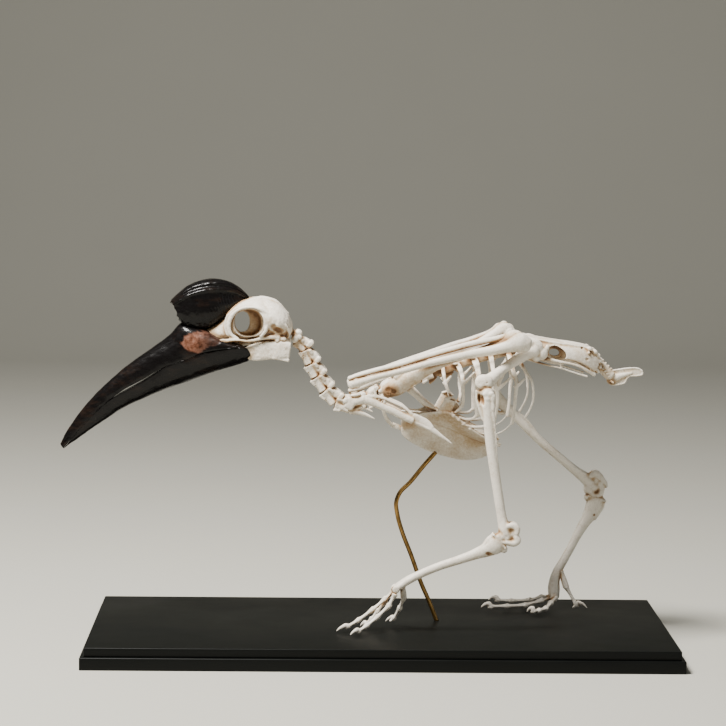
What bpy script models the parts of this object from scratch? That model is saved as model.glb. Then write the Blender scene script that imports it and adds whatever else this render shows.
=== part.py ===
"""A ground hornbill's skeleton, mounted life-size on a two-step base with a bent brass rod.

Places are written in millimetres as (x, side, z): x runs from the bill towards the tail, side runs
from the midline to the bird's right, and z is the height above the top of the base. The origin is
the centre of the base's underside.
"""

import bmesh
import bpy
import numpy as np
from mathutils import Matrix, Vector

MM = 0.001

# The air between bones that meet, and how far a grown corner may stand out, in growths
GAP = 0.3
NECK_GAP = 0.5
STEEPEST_CORNER = 2.5

# The least share of a bone that a cut may leave, and the angle in degrees below which faces are merged
LEAST_LEFT = 0.45
FLAT_ENOUGH = 2.5
SHARP_EDGE = 50.0

# The base and where the bird stands on it
BASE_LENGTH = 650.0
BASE_DEPTH = 300.0
LOWER_STEP = 13.85
STEP_LEDGE = 4.5
BASE_HEIGHT = 24.0
BROKEN_EDGE = 0.8
MIDLINE_Y = 20.0

LEFT = -1
RIGHT = 1
SIDES = {"left": LEFT, "right": RIGHT}

# Finishes: colour, roughness, metallic
BONE = ((0.80, 0.74, 0.63), 0.55, 0.0)
HORN = ((0.028, 0.022, 0.022), 0.22, 0.0)
BLACK_WOOD = ((0.022, 0.028, 0.024), 0.5, 0.0)
BRASS = ((0.62, 0.40, 0.14), 0.3, 1.0)


def clear_scene():
    for item in list(bpy.data.objects):
        bpy.data.objects.remove(item, do_unlink=True)


def in_metres(x, side, z):
    return Vector((x * MM, (MIDLINE_Y + side) * MM, (BASE_HEIGHT + z) * MM))


def object_from_bmesh(bm):
    """Puts a mesh into the scene as triangles, so that a grown copy bends along the same lines."""
    bmesh.ops.triangulate(bm, faces=bm.faces)
    bmesh.ops.recalc_face_normals(bm, faces=bm.faces)
    mesh = bpy.data.meshes.new("piece")
    bm.to_mesh(mesh)
    bm.free()
    piece = bpy.data.objects.new("piece", mesh)
    bpy.context.scene.collection.objects.link(piece)
    return piece


def skin_rings(rings):
    """Bridges rings of points, given in metres, and closes both ends."""
    bm = bmesh.new()
    loops = [[bm.verts.new(point) for point in ring] for ring in rings]
    count = len(loops[0])
    for here, there in zip(loops, loops[1:]):
        for i in range(count):
            j = (i + 1) % count
            bm.faces.new((here[i], here[j], there[j], there[i]))
    bm.faces.new(loops[0])
    bm.faces.new(loops[-1])
    return object_from_bmesh(bm)


# How wide a bone's end face is beside the bone itself
BLUNT_END = 0.6


def rounded(angle, power):
    """The two coordinates of a rounded square at an angle: power 2 is an oval, more is squarer."""
    c = np.cos(angle)
    s = np.sin(angle)
    return np.sign(c) * abs(c) ** (2 / power), np.sign(s) * abs(s) ** (2 / power)


def shaft(rows, sides=8, across_axis=(0, 1, 0), power=2.0, blunt=0.5):
    """A bone along a path. A row is x, side, z, half width across, half depth."""
    data = np.array(rows, dtype=float)
    centres = data[:, :3]
    tangents = np.gradient(centres, axis=0)
    rings = []
    for i, (x, side, z, across, deep) in enumerate(data):
        along = Vector(tangents[i]).normalized()
        wide = Vector(across_axis)
        wide = (wide - along * wide.dot(along)).normalized()
        high = along.cross(wide)
        centre = in_metres(x, side, z)

        def ring(scale, shift):
            points = []
            for k in range(sides):
                u, v = rounded(2 * np.pi * (k + 0.5) / sides, power)
                offset = wide * (u * across * scale) + high * (v * deep * scale) + along * shift
                points.append(centre + offset * MM)
            return points

        reach = blunt * min(across, deep)
        if i == 0 and blunt:
            rings.append(ring(BLUNT_END, -reach))
        rings.append(ring(1.0, 0.0))
        if i == len(data) - 1 and blunt:
            rings.append(ring(BLUNT_END, reach))
    return skin_rings(rings)


def shell_form(rows, sides=12, level=0.45, power=2.2):
    """A two-sided body, widest at a level from 0 to 1 up. A row is top x, z, bottom x, z, half width."""
    rings = []
    for top_x, top_z, bottom_x, bottom_z, half in rows:
        points = []
        for k in range(sides):
            u, v = rounded(2 * np.pi * (k + 0.5) / sides, power)
            rise = level + v * (1 - level) if v > 0 else level + v * level
            x = bottom_x + (top_x - bottom_x) * rise
            z = bottom_z + (top_z - bottom_z) * rise
            points.append(in_metres(x, u * half, z))
        rings.append(points)
    return skin_rings(rings)


def ball(centre, radii, tilt=0.0, fine=2):
    """An egg-shaped lump, tilted in degrees about the left-right axis."""
    bm = bmesh.new()
    bmesh.ops.create_icosphere(bm, subdivisions=fine, radius=1.0)
    size = Matrix.Diagonal((*[r * MM for r in radii], 1.0))
    turn = Matrix.Rotation(np.radians(tilt), 4, "Y")
    bm.transform(Matrix.Translation(in_metres(*centre)) @ turn @ size)
    return object_from_bmesh(bm)


def slab(outline, side_low, side_high):
    """A flat plate: an outline of (x, z) points carried from one side to the other."""
    rings = [[in_metres(x, side, z) for x, z in outline] for side in (side_low, side_high)]
    return skin_rings(rings)


def block(low, high):
    outline = [(low[0], low[2]), (high[0], low[2]), (high[0], high[2]), (low[0], high[2])]
    return slab(outline, low[1], high[1])


def curved_sheet(grid, thickness):
    """A closed curved plate over a grid of (x, side, z) points, with its thickness downwards."""
    bm = bmesh.new()
    layers = []
    for drop in (0.0, thickness):
        layers.append([[bm.verts.new(in_metres(x, s, z - drop)) for x, s, z in row] for row in grid])
    top, under = layers
    last_row = len(grid) - 1
    last = len(grid[0]) - 1
    for i in range(last_row):
        for j in range(last):
            bm.faces.new((top[i][j], top[i + 1][j], top[i + 1][j + 1], top[i][j + 1]))
            bm.faces.new((under[i][j], under[i][j + 1], under[i + 1][j + 1], under[i + 1][j]))
    border = [(0, j) for j in range(last)] + [(i, last) for i in range(last_row)]
    border += [(last_row, j) for j in range(last, 0, -1)] + [(i, 0) for i in range(last_row, 0, -1)]
    for (a, b), (c, d) in zip(border, border[1:] + border[:1]):
        bm.faces.new((top[a][b], top[c][d], under[c][d], under[a][b]))
    return object_from_bmesh(bm)


def measure(mesh):
    """Whether a mesh is closed, and the volume that it holds."""
    bm = bmesh.new()
    bm.from_mesh(mesh)
    closed = len(bm.faces) > 0 and all(len(edge.link_faces) == 2 for edge in bm.edges)
    volume = bm.calc_volume(signed=True)
    bm.free()
    return closed, volume


def apply_boolean(piece, operation, tools):
    """Applies one Boolean with a collection of closed meshes, then removes them."""
    group = bpy.data.collections.new("tools")
    bpy.context.scene.collection.children.link(group)
    for tool in tools:
        bpy.context.scene.collection.objects.unlink(tool)
        group.objects.link(tool)
        tool.hide_render = True
        tool.display_type = "WIRE"
    boolean = piece.modifiers.new("boolean", "BOOLEAN")
    boolean.operation = operation
    boolean.operand_type = "COLLECTION"
    boolean.collection = group
    before = measure(piece.data)[1]
    least = before if operation == "UNION" else before * LEAST_LEFT
    for solver in ("EXACT", "MANIFOLD"):
        boolean.solver = solver
        graph = bpy.context.evaluated_depsgraph_get()
        result = bpy.data.meshes.new_from_object(piece.evaluated_get(graph))
        closed, volume = measure(result)
        if closed and volume >= least:
            break
    piece.modifiers.clear()
    piece.data = result
    for tool in tools:
        bpy.data.objects.remove(tool, do_unlink=True)
    bpy.data.collections.remove(group)
    keep_largest(piece)
    return piece


def keep_largest(piece):
    """Keeps the closed surface that holds the most, and drops sealed hollows and loose scraps."""
    bm = bmesh.new()
    bm.from_mesh(piece.data)
    bmesh.ops.triangulate(bm, faces=bm.faces)
    waiting = set(bm.faces)
    best = set()
    best_volume = -1.0
    while waiting:
        seed = waiting.pop()
        island = {seed}
        edge_of_search = [seed]
        while edge_of_search:
            face = edge_of_search.pop()
            for edge in face.edges:
                for near in edge.link_faces:
                    if near in waiting:
                        waiting.discard(near)
                        island.add(near)
                        edge_of_search.append(near)
        volume = 0.0
        for face in island:
            a, b, c = [vert.co for vert in face.verts]
            volume += a.dot(b.cross(c)) / 6
        if volume > best_volume:
            best = island
            best_volume = volume
    loose = [face for face in bm.faces if face not in best]
    bmesh.ops.delete(bm, geom=loose, context="FACES")
    bmesh.ops.dissolve_limit(bm, angle_limit=np.radians(FLAT_ENOUGH), verts=bm.verts, edges=bm.edges)
    bmesh.ops.triangulate(bm, faces=bm.faces)
    bm.to_mesh(piece.data)
    bm.free()


def join(pieces):
    first, *rest = pieces
    return apply_boolean(first, "UNION", rest) if rest else first


def cut(piece, cutters):
    return apply_boolean(piece, "DIFFERENCE", cutters)


def grown_copy(piece, growth):
    """A copy of a piece whose surface stands out by the growth, as a cutter."""
    copy = piece.copy()
    copy.data = piece.data.copy()
    bpy.context.scene.collection.objects.link(copy)
    bm = bmesh.new()
    bm.from_mesh(copy.data)
    bm.normal_update()
    for vert in bm.verts:
        even = min(vert.calc_shell_factor(), STEEPEST_CORNER)
        vert.co += vert.normal * (growth * even * MM)
    bm.to_mesh(copy.data)
    bm.free()
    return copy


def fit_against(piece, neighbours, gap=GAP):
    """Cuts a piece clear of its neighbours, so that they meet face to face across the gap."""
    return cut(piece, [grown_copy(near, gap) for near in neighbours])


def finish(piece, name, look):
    colour, roughness, metallic = look
    piece.name = name
    piece.data.name = name
    material = bpy.data.materials.new(name + "_finish")
    material.use_nodes = True
    shader = material.node_tree.nodes["Principled BSDF"]
    shader.inputs["Base Color"].default_value = (*colour, 1.0)
    shader.inputs["Roughness"].default_value = roughness
    shader.inputs["Metallic"].default_value = metallic
    piece.data.materials.clear()
    piece.data.materials.append(material)
    if look is BONE or look is HORN:
        piece.data.shade_smooth()
        piece.data.set_sharp_from_angle(angle=np.radians(SHARP_EDGE))
    return piece


def on_side(rows, way):
    """The same rows on the bird's left or right."""
    return [(x, way * side, *rest) for x, side, *rest in rows]


# The base and its rod

def base_plate(name, length, depth, low, high):
    """A rectangular plate with slightly broken edges."""
    bm = bmesh.new()
    bmesh.ops.create_cube(bm, size=1.0)
    bmesh.ops.scale(bm, vec=(length * MM, depth * MM, (high - low) * MM), verts=bm.verts)
    bmesh.ops.translate(bm, vec=(0, 0, 0.5 * (low + high) * MM), verts=bm.verts)
    bmesh.ops.bevel(bm, geom=bm.edges[:], offset=BROKEN_EDGE * MM, segments=1, affect="EDGES")
    return finish(object_from_bmesh(bm), name, BLACK_WOOD)


def build_base():
    base_plate("base_lower_step", BASE_LENGTH + 2 * STEP_LEDGE, BASE_DEPTH + 2 * STEP_LEDGE, 0, LOWER_STEP)
    base_plate("base_upper_step", BASE_LENGTH, BASE_DEPTH, LOWER_STEP + GAP, BASE_HEIGHT)


ROD_RADIUS = 2.5
ROD_PATH = [
    (65, -6, -1), (57, -5, 21), (48, -4, 41), (35, -3, 76), (24, -2, 104), (19, -1, 122),
    (17.5, -1, 136), (21, 0, 146), (33, 0, 159), (49, 0, 179), (63, 0, 195),
]


def build_rod(sternum):
    rod = shaft([(*point, ROD_RADIUS, ROD_RADIUS) for point in ROD_PATH], sides=8, blunt=0)
    floor = block((40, -30, -20), (90, 30, GAP))
    cut(rod, [floor])
    fit_against(rod, [sternum])
    finish(rod, "support_rod", BRASS)


# The head

ORBIT = (-152, 341)
ORBIT_LENGTH = 19.5
ORBIT_HEIGHT = 17


def build_skull():
    braincase = shell_form([
        (-201, 333, -198, 311, 12), (-188, 340, -185, 312, 18.6), (-176, 350, -173, 315, 20.4),
        (-163, 361, -161, 320, 20), (-150, 368.5, -149, 323, 24), (-139, 369, -137, 324, 29),
        (-127, 367, -125, 324, 32), (-116, 360.5, -114, 324, 29), (-108, 351, -107, 326, 22),
        (-102.5, 339, -102, 330, 9),
    ], sides=14)
    pieces = [braincase, shaft([(-175, 0, 318, 9, 4), (-148, 0, 321, 6, 3), (-118, 0, 328, 12, 5)])]
    pieces.append(ball((-102, 0, 331), (3.5, 4, 3.5), fine=1))
    for way in (LEFT, RIGHT):
        cheek = [(-172, 20, 319, 2, 3), (-157, 23.5, 321, 1.7, 2), (-142, 26, 322.5, 1.7, 2),
                 (-122, 26, 326, 2.5, 3)]
        pieces.append(shaft(on_side(cheek, way), sides=5, blunt=0))
        pieces.append(shaft(on_side([(-119, 24, 320, 5, 5), (-121, 23, 334, 4, 5)], way), sides=5, blunt=0))
        brow = [(-134, 24, 345, 3, 5), (-137, 28, 338, 2.4, 3), (-138, 29, 331, 1.5, 2)]
        pieces.append(shaft(on_side(brow, way), sides=5, blunt=0))
    skull = join(pieces)
    cutters = []
    for way in (LEFT, RIGHT):
        x, z = ORBIT
        cutters.append(ball((x, way * 26, z), (ORBIT_LENGTH, 21, ORBIT_HEIGHT)))
        cutters.append(ball((-126, way * 33, 337), (3.5, 5, 8), tilt=-15, fine=1))
        cutters.append(ball((-112.5, way * 28, 331), (4, 6, 6), fine=1))
    window = [(-160 + 8.5 * np.cos(a), 340 + 12.5 * np.sin(a)) for a in np.linspace(0, 2 * np.pi, 12, False)]
    cutters.append(slab(window, -30, 30))
    return cut(skull, cutters)


def build_upper_bill():
    return shell_form([
        (-364.5, 198, -363, 196.5, 1.2), (-358, 214, -353, 208, 3), (-347, 232, -338, 224, 5),
        (-332, 251, -320, 242, 7.5), (-310, 273, -297, 261, 10.5), (-287, 293, -271, 276, 14),
        (-264, 309.5, -246, 290.5, 17), (-242, 326, -221, 299, 20), (-228, 340, -206, 306, 22.5),
        (-213, 337, -193, 309.5, 24), (-203, 334, -184, 311, 24.5), (-192, 329, -174, 312.5, 25),
        (-181, 322.5, -168, 313.5, 25.3), (-163, 317, -162, 314.5, 25.5),
    ], sides=14, level=0.03, power=2.1)


def build_lower_bill():
    sheath = shell_form([
        (-360, 199, -359, 197.5, 1.2), (-351, 206.2, -347.5, 203.8, 3), (-337, 222, -331, 216.5, 5.5),
        (-319, 239.5, -310, 231, 8), (-296, 259, -286, 245.5, 11), (-270, 274.6, -258, 259, 14.5),
        (-245, 289, -234, 268, 17.5), (-220, 298, -212, 276, 20.5), (-207, 304.5, -201, 280, 22),
        (-196, 307.8, -190, 283.5, 23), (-173, 312, -168, 289.5, 24.5), (-160, 313.5, -155, 293.5, 25.5),
        (-152.5, 308.5, -150, 296, 25.5),
    ], sides=14, level=0.96, power=2.8)
    fork = [(-240, 0), (-205, 9), (-140, 18), (-140, -18), (-205, -9)]
    throat = skin_rings([[in_metres(x, side, z) for x, side in fork] for z in (240, 335)])
    return cut(sheath, [throat])


def build_casque():
    helmet = shell_form([
        (-152, 370.5, -154, 366, 4), (-160, 378, -163, 359, 9), (-172, 386, -176, 348, 13),
        (-184, 389.5, -188, 339, 16), (-198, 390, -202, 332, 17.5), (-211, 387, -212, 332, 18),
        (-224, 380.5, -220, 334, 17.5), (-234, 372, -227, 338, 16), (-242.5, 364, -232, 343, 13),
    ], sides=12, level=0.4, power=2.5)
    hollow = shell_form([
        (-249, 362, -237, 341, 10), (-236, 366, -228, 344, 12.5), (-226, 373, -221, 343, 13.5),
        (-214, 379, -212, 343, 13.5), (-204, 377, -205, 350, 9),
    ], sides=8, level=0.4, power=2.4)
    return cut(helmet, [hollow])


def build_mandible(way):
    return shaft(on_side([
        (-160, 19.5, 306, 2, 7), (-149, 20.5, 307.8, 2.2, 9.2), (-137, 22.5, 310, 2.4, 10.3),
        (-125, 24, 311.8, 3, 11), (-114, 25, 311.5, 4.2, 11), (-106, 24.5, 309.5, 4, 10.5),
    ], way), power=2.6, blunt=0)


def build_head():
    skull = build_skull()
    upper = build_upper_bill()
    lower = build_lower_bill()
    casque = build_casque()
    fit_against(lower, [upper])
    fit_against(skull, [upper])
    fit_against(casque, [upper, skull])
    finish(upper, "upper_bill", HORN)
    finish(casque, "casque", HORN)
    for side, way in SIDES.items():
        ramus = build_mandible(way)
        fit_against(ramus, [lower, skull])
        finish(ramus, "mandible_" + side, BONE)
    finish(lower, "lower_bill", HORN)
    return finish(skull, "skull", BONE)


# The neck

# Where the neck bones meet on the midline, from the skull to the chest, and each bone's size
NECK_JOINTS = [
    (-104, 327), (-97.5, 321), (-88, 310.5), (-82, 294.5), (-75, 280), (-65.5, 264.5), (-53.5, 250),
    (-36.5, 245),
    (-18.5, 250.5), (-2.5, 259), (13.5, 267), (29, 275.5), (43, 281), (57, 286),
]
NECK_SIZES = (0.72, 0.92, 1.04, 1.08, 1.1, 1.1, 1.08, 1.04, 1.04, 1.06, 1.08, 1.08, 1.04)


def neck_vertebra(front, back, size):
    """The pieces of one bone: a waisted body, four joint arms and two spurs that point back below."""
    length = np.linalg.norm(back - front)
    along = (back - front) / length
    dorsal = np.array([-along[1], along[0]])
    middle = 0.5 * (front + back)

    def spot(forward, side, up, across, deep):
        x, z = middle + along * (forward * length) + dorsal * (up * size)
        return (x, side * size, z, across * size, deep * size)

    body = [spot(-0.49, 0, 0, 9, 9.4), spot(-0.05, 0, 1.5, 7, 8.2), spot(0.48, 0, 1.6, 8.5, 9.6)]
    pieces = [shaft(body, blunt=0)]
    for way in (LEFT, RIGHT):
        front_arm = [spot(-0.2, 7.5 * way, 4.5, 3, 3), spot(-0.62, 10 * way, 4.2, 2.8, 2.2)]
        back_arm = [spot(-0.06, 5.5 * way, 7.6, 4, 3.8), spot(0.54, 7 * way, 10, 3.8, 3.4)]
        spur = [spot(-0.46, 8 * way, -4.5, 3, 4.4), spot(-0.1, 8 * way, -7.4, 2.2, 2.6)]
        spur.append(spot(0.24, 7 * way, -9.4, 1, 1.1))
        pieces += [shaft(rows, sides=4, blunt=0) for rows in (front_arm, back_arm, spur)]
    return pieces


def build_neck(skull):
    """Makes the neck bones, each cut clear of the one before, and returns the last one."""
    joints = np.array(NECK_JOINTS)
    clearance = [grown_copy(skull, NECK_GAP)]
    for i, size in enumerate(NECK_SIZES):
        pieces = neck_vertebra(joints[i], joints[i + 1], size)
        next_clearance = [grown_copy(piece, NECK_GAP) for piece in pieces]
        bone = cut(join(pieces), clearance)
        clearance = next_clearance
        finish(bone, "neck_vertebra_%02d" % (i + 1), BONE)
    for piece in clearance:
        bpy.data.objects.remove(piece, do_unlink=True)
    return bone


# The chest

BACK_LINE = [(56, 0, 285), (75, 0, 291), (95, 0, 298), (115, 0, 304), (135, 0, 309), (153, 0, 313)]
RIB_BULGE = (26, 32, 37, 40, 41, 40)
RIB_WIDTH = (1.7, 2.1, 2.6, 2.0, 2.0, 1.4)
RIBS = [
    [(68, 292), (69, 286), (71, 276), (75, 265), (81, 250)],
    [(85, 296), (88, 290), (90, 279), (90, 269), (91, 258), (89, 250)],
    [(104, 302), (107, 292), (107, 275), (106, 258), (107, 240)],
    [(122, 307), (124, 294), (127, 275), (129, 258), (127, 241), (125, 231)],
    [(142, 311), (147, 290), (150, 279), (149, 264), (148, 247), (146, 232)],
    [(150, 312), (160, 292), (167, 281), (169, 270), (169, 259), (166, 249), (160, 238)],
]
LOWER_RIBS = [
    [],
    [(89, 251, 29), (86, 247, 30), (81, 243, 31)],
    [(107, 242, 33), (102, 237, 33), (94, 236, 33), (86, 238, 32)],
    [(125, 232, 36), (112, 228, 35), (100, 228, 34), (90, 231, 33)],
    [(146, 233, 37), (137, 224, 36), (124, 219, 35), (110, 221, 34), (97, 227, 33)],
    [(160, 239, 36), (150, 230, 36), (137, 224, 36)],
]
SPURS = {
    0: [(71, 277), (77, 284)],
    1: [(91, 277), (103, 289)],
    3: [(128, 271), (144, 285)],
    4: [(150, 275), (159, 283)],
}


def rib_side(index, x, z):
    """How far a rib stands out: quickly near the backbone, then an even curve down."""
    path = RIBS[index]
    fall = (path[0][1] - z) / (path[0][1] - path[-1][1])
    out = np.sin(min(1.0, 0.12 + fall * 1.7) * np.pi / 2)
    tuck = 1.0 - 0.14 * max(0.0, fall - 0.6) / 0.4
    return 4 + (RIB_BULGE[index] - 4) * out * tuck


def build_rib(index, way):
    width = RIB_WIDTH[index]
    path = [(x, rib_side(index, x, z), z) for x, z in RIBS[index]]
    rows = [(path[0][0] - 1, 2, path[0][2] + 1, width, 2)]
    rows += [(*point, width, 1.2) for point in path]
    pieces = [shaft(on_side(rows, way), sides=4, across_axis=(1, 0, 0.2), blunt=0)]
    lower = LOWER_RIBS[index]
    if lower:
        rows = [(x, side, z, 1.3, 1.6) for x, z, side in lower]
        pieces.append(shaft(on_side(rows, way), sides=4, blunt=0))
    if index in SPURS:
        (x0, z0), (x1, z1) = SPURS[index]
        side = rib_side(index, x0, z0)
        rows = [(x0 - 2, side, z0 - 2, 0.9, 2.6), (x0 + 2, side, z0 + 1, 0.9, 2),
                (x1, side - 1, z1, 0.7, 1)]
        pieces.append(shaft(on_side(rows, way), sides=4, blunt=0))
    return pieces


def build_chest(last_neck, sternum):
    backbone = shaft([(*point, 5.5, 5) for point in BACK_LINE], sides=8, blunt=0.2)
    crest = slab([(60, 289), (58, 297), (84, 306), (120, 317), (140, 321), (140, 310)], -1.2, 1.2)
    pieces = [backbone, crest]
    for x, _, z in BACK_LINE[:-1]:
        for way in (LEFT, RIGHT):
            arm = [(x + 6, 3, z + 4, 3.5, 1.6), (x + 7, 13, z + 6, 2.4, 1.4)]
            pieces.append(shaft(on_side(arm, way), sides=4, across_axis=(1, 0, 0), blunt=0))
    for way in (LEFT, RIGHT):
        for index in range(len(RIBS)):
            pieces += build_rib(index, way)
    cage = join(pieces)
    fit_against(cage, [last_neck, sternum])
    halves = []
    for side, way in SIDES.items():
        half = cage.copy()
        half.data = cage.data.copy()
        bpy.context.scene.collection.objects.link(half)
        near, far = sorted((-way * 100, way * 0.5 * GAP))
        cut(half, [block((0, near, 150), (220, far, 380))])
        halves.append(finish(half, "rib_cage_" + side, BONE))
    bpy.data.objects.remove(cage, do_unlink=True)
    return halves


STERNUM_MIDLINE = [(28, 232), (45, 230), (60, 226), (75, 221), (90, 216), (110, 209), (134, 203)]
STERNUM_RIM = [(28, 234, 8), (45, 241, 22), (60, 243, 29), (75, 243, 33), (90, 233, 34), (110, 219, 34),
               (134, 208, 31)]


def build_sternum():
    grid = []
    for (x, low), (_, high, half) in zip(STERNUM_MIDLINE, STERNUM_RIM):
        row = []
        for t in np.linspace(-1, 1, 7):
            row.append((x, t * half, low + (high - low) * t * t))
        grid.append(row)
    plate = curved_sheet(grid, 2.0)
    keel = slab([
        (24, 229), (21.5, 219), (25, 213), (32, 207), (42, 201), (58, 194), (73, 189.5), (90, 185.5),
        (108, 186), (121, 189.5), (129, 197), (134, 202), (110, 208), (75, 220), (45, 229), (28, 231),
    ], -1.2, 1.2)
    rim = shaft([
        (23, 0, 220, 2.2, 2), (33, 0, 208, 1.8, 1.5), (58, 0, 195.5, 1.8, 1.5), (90, 0, 187, 1.8, 1.5),
        (120, 0, 190.5, 1.8, 1.5), (131, 0, 200, 1.8, 1.5),
    ], sides=6, blunt=0.3)
    pieces = [plate, keel, rim]
    for way in (LEFT, RIGHT):
        wing = [(68, 28, 242, 1.3, 6), (74, 31, 250, 1.2, 5), (76, 32, 256, 1, 3)]
        pieces.append(shaft(on_side(wing, way), sides=6, blunt=0.2))
    sternum = join(pieces)
    notches = []
    for way in (LEFT, RIGHT):
        for side in (12, 24):
            notches.append(block((117, way * side - 3, 190), (140, way * side + 3, 230)))
    return cut(sternum, notches)


def build_shoulders(sternum, cage):
    """The wishbone, the two coracoids and the two shoulder blades."""
    built = {}
    for side, way in SIDES.items():
        coracoid = shaft(on_side([
            (23, 21.5, 276, 4.5, 5), (28, 21, 270, 3.6, 4), (37, 19.5, 262, 3.2, 3.4),
            (47, 18, 252, 5, 2.8),
            (56, 16, 245, 8.5, 2.4), (60, 15.5, 242, 10, 2),
        ], way), across_axis=(0.45, 0.9 * way, 0))
        built["coracoid_" + side] = fit_against(coracoid, [sternum])
        blade = shaft(on_side([
            (27, 25, 277.6, 2.6, 4.4), (38, 26.2, 285.5, 1.7, 3.4), (60, 27.6, 298, 1.3, 3.2),
            (90, 28.4, 309, 1.1, 3.8), (112, 27, 315, 1, 3.6), (124, 25.8, 317.5, 0.9, 2),
        ], way), sides=6, blunt=0.3)
        built["scapula_" + side] = fit_against(blade, [built["coracoid_" + side], *cage])
    half = [(21, 22, 274), (12, 21, 267), (4, 18, 256), (1.5, 13, 244), (6, 6.5, 231)]
    path = [(x, -side, z) for x, side, z in half] + [(13, 0, 224)] + half[::-1]
    wish = shaft([(*point, 2, 1.7) for point in path], sides=6, across_axis=(1, 0, 0.15), blunt=0)
    built["furcula"] = fit_against(wish, [sternum, built["coracoid_left"], built["coracoid_right"]])
    for name, piece in built.items():
        finish(piece, name, BONE)
    return built


# The wings

HUMERUS = {
    "left": [(8, -28, 268, 5, 8), (16, -29, 272, 6, 10), (28, -33, 280, 5.5, 9), (45, -37, 290, 5, 7),
             (62, -41, 299, 4.6, 5.5), (85, -44, 308, 4.5, 4.8), (115, -47, 317, 4.6, 5),
             (134, -50, 325, 6, 7), (146, -52, 330, 8, 9.6), (153, -51, 328, 7, 8)],
    "right": [(18, 27, 276, 5, 6), (25, 29, 277, 6, 10), (38, 32, 282, 5.5, 9), (50, 34, 288, 5, 7),
              (66, 36, 296, 4.6, 5.5), (90, 38, 307, 4.5, 4.8), (115, 40, 318, 4.6, 4.8),
              (132, 41, 327, 6, 6.5), (142, 42, 331.4, 7, 8.4), (150, 42, 328.4, 5, 5.4)],
}
ULNA = {
    "left": [(160, -56, 321.5, 5, 6.4), (150, -57, 323.4, 7, 9), (138, -56, 321, 5.6, 6.8),
             (120, -55, 316.4, 4.6, 5.6), (103, -54, 313.4, 4.4, 5.1), (75, -53, 307.2, 4.1, 4.5),
             (47, -51, 300.2, 4, 4), (19, -49, 291.8, 3.8, 3.8), (-12, -47, 283.6, 4, 3.9),
             (-27, -46, 278.6, 4.8, 5), (-36, -46, 275.4, 5, 5.4)],
    "right": [(142, 46, 337, 4, 4.4), (138, 46, 333, 5, 7.4), (128, 46, 327.5, 4.6, 5.4),
              (108, 45, 320.3, 4.1, 4.3), (79, 44, 311.4, 4, 4.1), (50, 43, 301.2, 4, 4),
              (21, 42, 291.2, 4, 4), (-10, 41, 279.2, 4.2, 4.4), (-29, 41, 271.4, 5, 5.2),
              (-36, 41, 269.2, 4.5, 5)],
}
RADIUS = {
    "left": [(144, -52, 333, 3.8, 5), (136, -52, 331.4, 3.4, 4), (102, -51, 324.2, 3.3, 3.5),
             (74, -50, 316.4, 3.3, 3.5), (52, -49, 309.8, 3.3, 3.5), (19, -48, 299.2, 3.2, 3.3),
             (-12, -46, 291, 3.1, 3.1), (-28, -45, 286.2, 4, 3), (-38, -45, 282.6, 3.8, 2.8)],
    "right": [(131, 46, 316.5, 3.6, 4.2), (125, 46, 314.4, 3.2, 3.4), (108, 46, 309, 3.2, 3.3),
              (79, 45, 300, 3.2, 3.3), (50, 44, 290, 3.2, 3.4), (21, 43, 280, 3.2, 3.3),
              (-10, 42, 268.6, 3.3, 3.3), (-28, 41, 261.6, 4, 3.6), (-36, 41, 259.4, 3.6, 3)],
}
HAND_SIDE = {"left": -47, "right": 42}
HAND_DROP = {"left": 0, "right": -7}


def hand_rows(side, rows):
    """Rows (x, z, half width, half depth) set on the folded hand's own plane."""
    return [(x, HAND_SIDE[side], z + HAND_DROP[side], across, deep) for x, z, across, deep in rows]


def build_hand(side, neighbours):
    wrist = ball((-36.5, HAND_SIDE[side], 254.6 + HAND_DROP[side]), (7.6, 5.6, 9), fine=1)
    major = shaft(hand_rows(side, [
        (-36, 256, 4.5, 6), (-22, 258.6, 3.6, 5), (-11, 256, 3.1, 4.8), (2, 250.4, 3, 4.3),
        (18, 243, 2.9, 4.4), (33, 236.5, 3.6, 4.6),
    ]), sides=6, blunt=0)
    minor = shaft(hand_rows(side, [
        (-21, 260.6, 2, 3.2), (-9, 262.4, 1.6, 2.3), (3, 259.8, 1.5, 1.8), (16, 254, 1.5, 1.8),
        (28, 247, 1.7, 2), (35, 239.6, 2, 2.8),
    ]), sides=5, blunt=0)
    spike = shaft(hand_rows(side, [(-8.6, 262, 1.7, 2.2), (-10, 272, 0.8, 0.9)]), sides=4, blunt=0)
    palm = join([wrist, major, minor, spike])
    fit_against(palm, neighbours)
    finish(palm, "carpometacarpus_" + side, BONE)
    thumb_rows = [(-34, 243.6, 2.1, 2.4), (-28, 244.4, 1.8, 2.4), (-20, 242.8, 1.5, 1.7), (-9.6, 238.6, 0.8, 1)]
    thumb = shaft(hand_rows(side, thumb_rows), sides=6, blunt=0)
    finish(fit_against(thumb, [palm]), "alula_" + side, BONE)
    first_rows = [(33, 239, 2.4, 5.5), (42, 235, 1.6, 6), (50, 231, 1.6, 5), (55, 227, 2, 3)]
    second_rows = [(53, 226.5, 2, 3.4), (64, 219.5, 1.7, 2.6), (77, 210.5, 0.8, 1)]
    finger = join([shaft(hand_rows(side, rows), sides=6, blunt=0) for rows in (first_rows, second_rows)])
    finish(fit_against(finger, [palm]), "wing_digit_" + side, BONE)


def build_wings(shoulders, cage):
    for side in SIDES:
        humerus = shaft(HUMERUS[side])
        around = [shoulders["coracoid_" + side], shoulders["scapula_" + side], shoulders["furcula"], *cage]
        fit_against(humerus, around)
        finish(humerus, "humerus_" + side, BONE)
        ulna = fit_against(shaft(ULNA[side]), [humerus])
        finish(ulna, "ulna_" + side, BONE)
        radius = fit_against(shaft(RADIUS[side], sides=6), [humerus, ulna])
        finish(radius, "radius_" + side, BONE)
        build_hand(side, [ulna, radius])


# The hips and the tail

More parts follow.
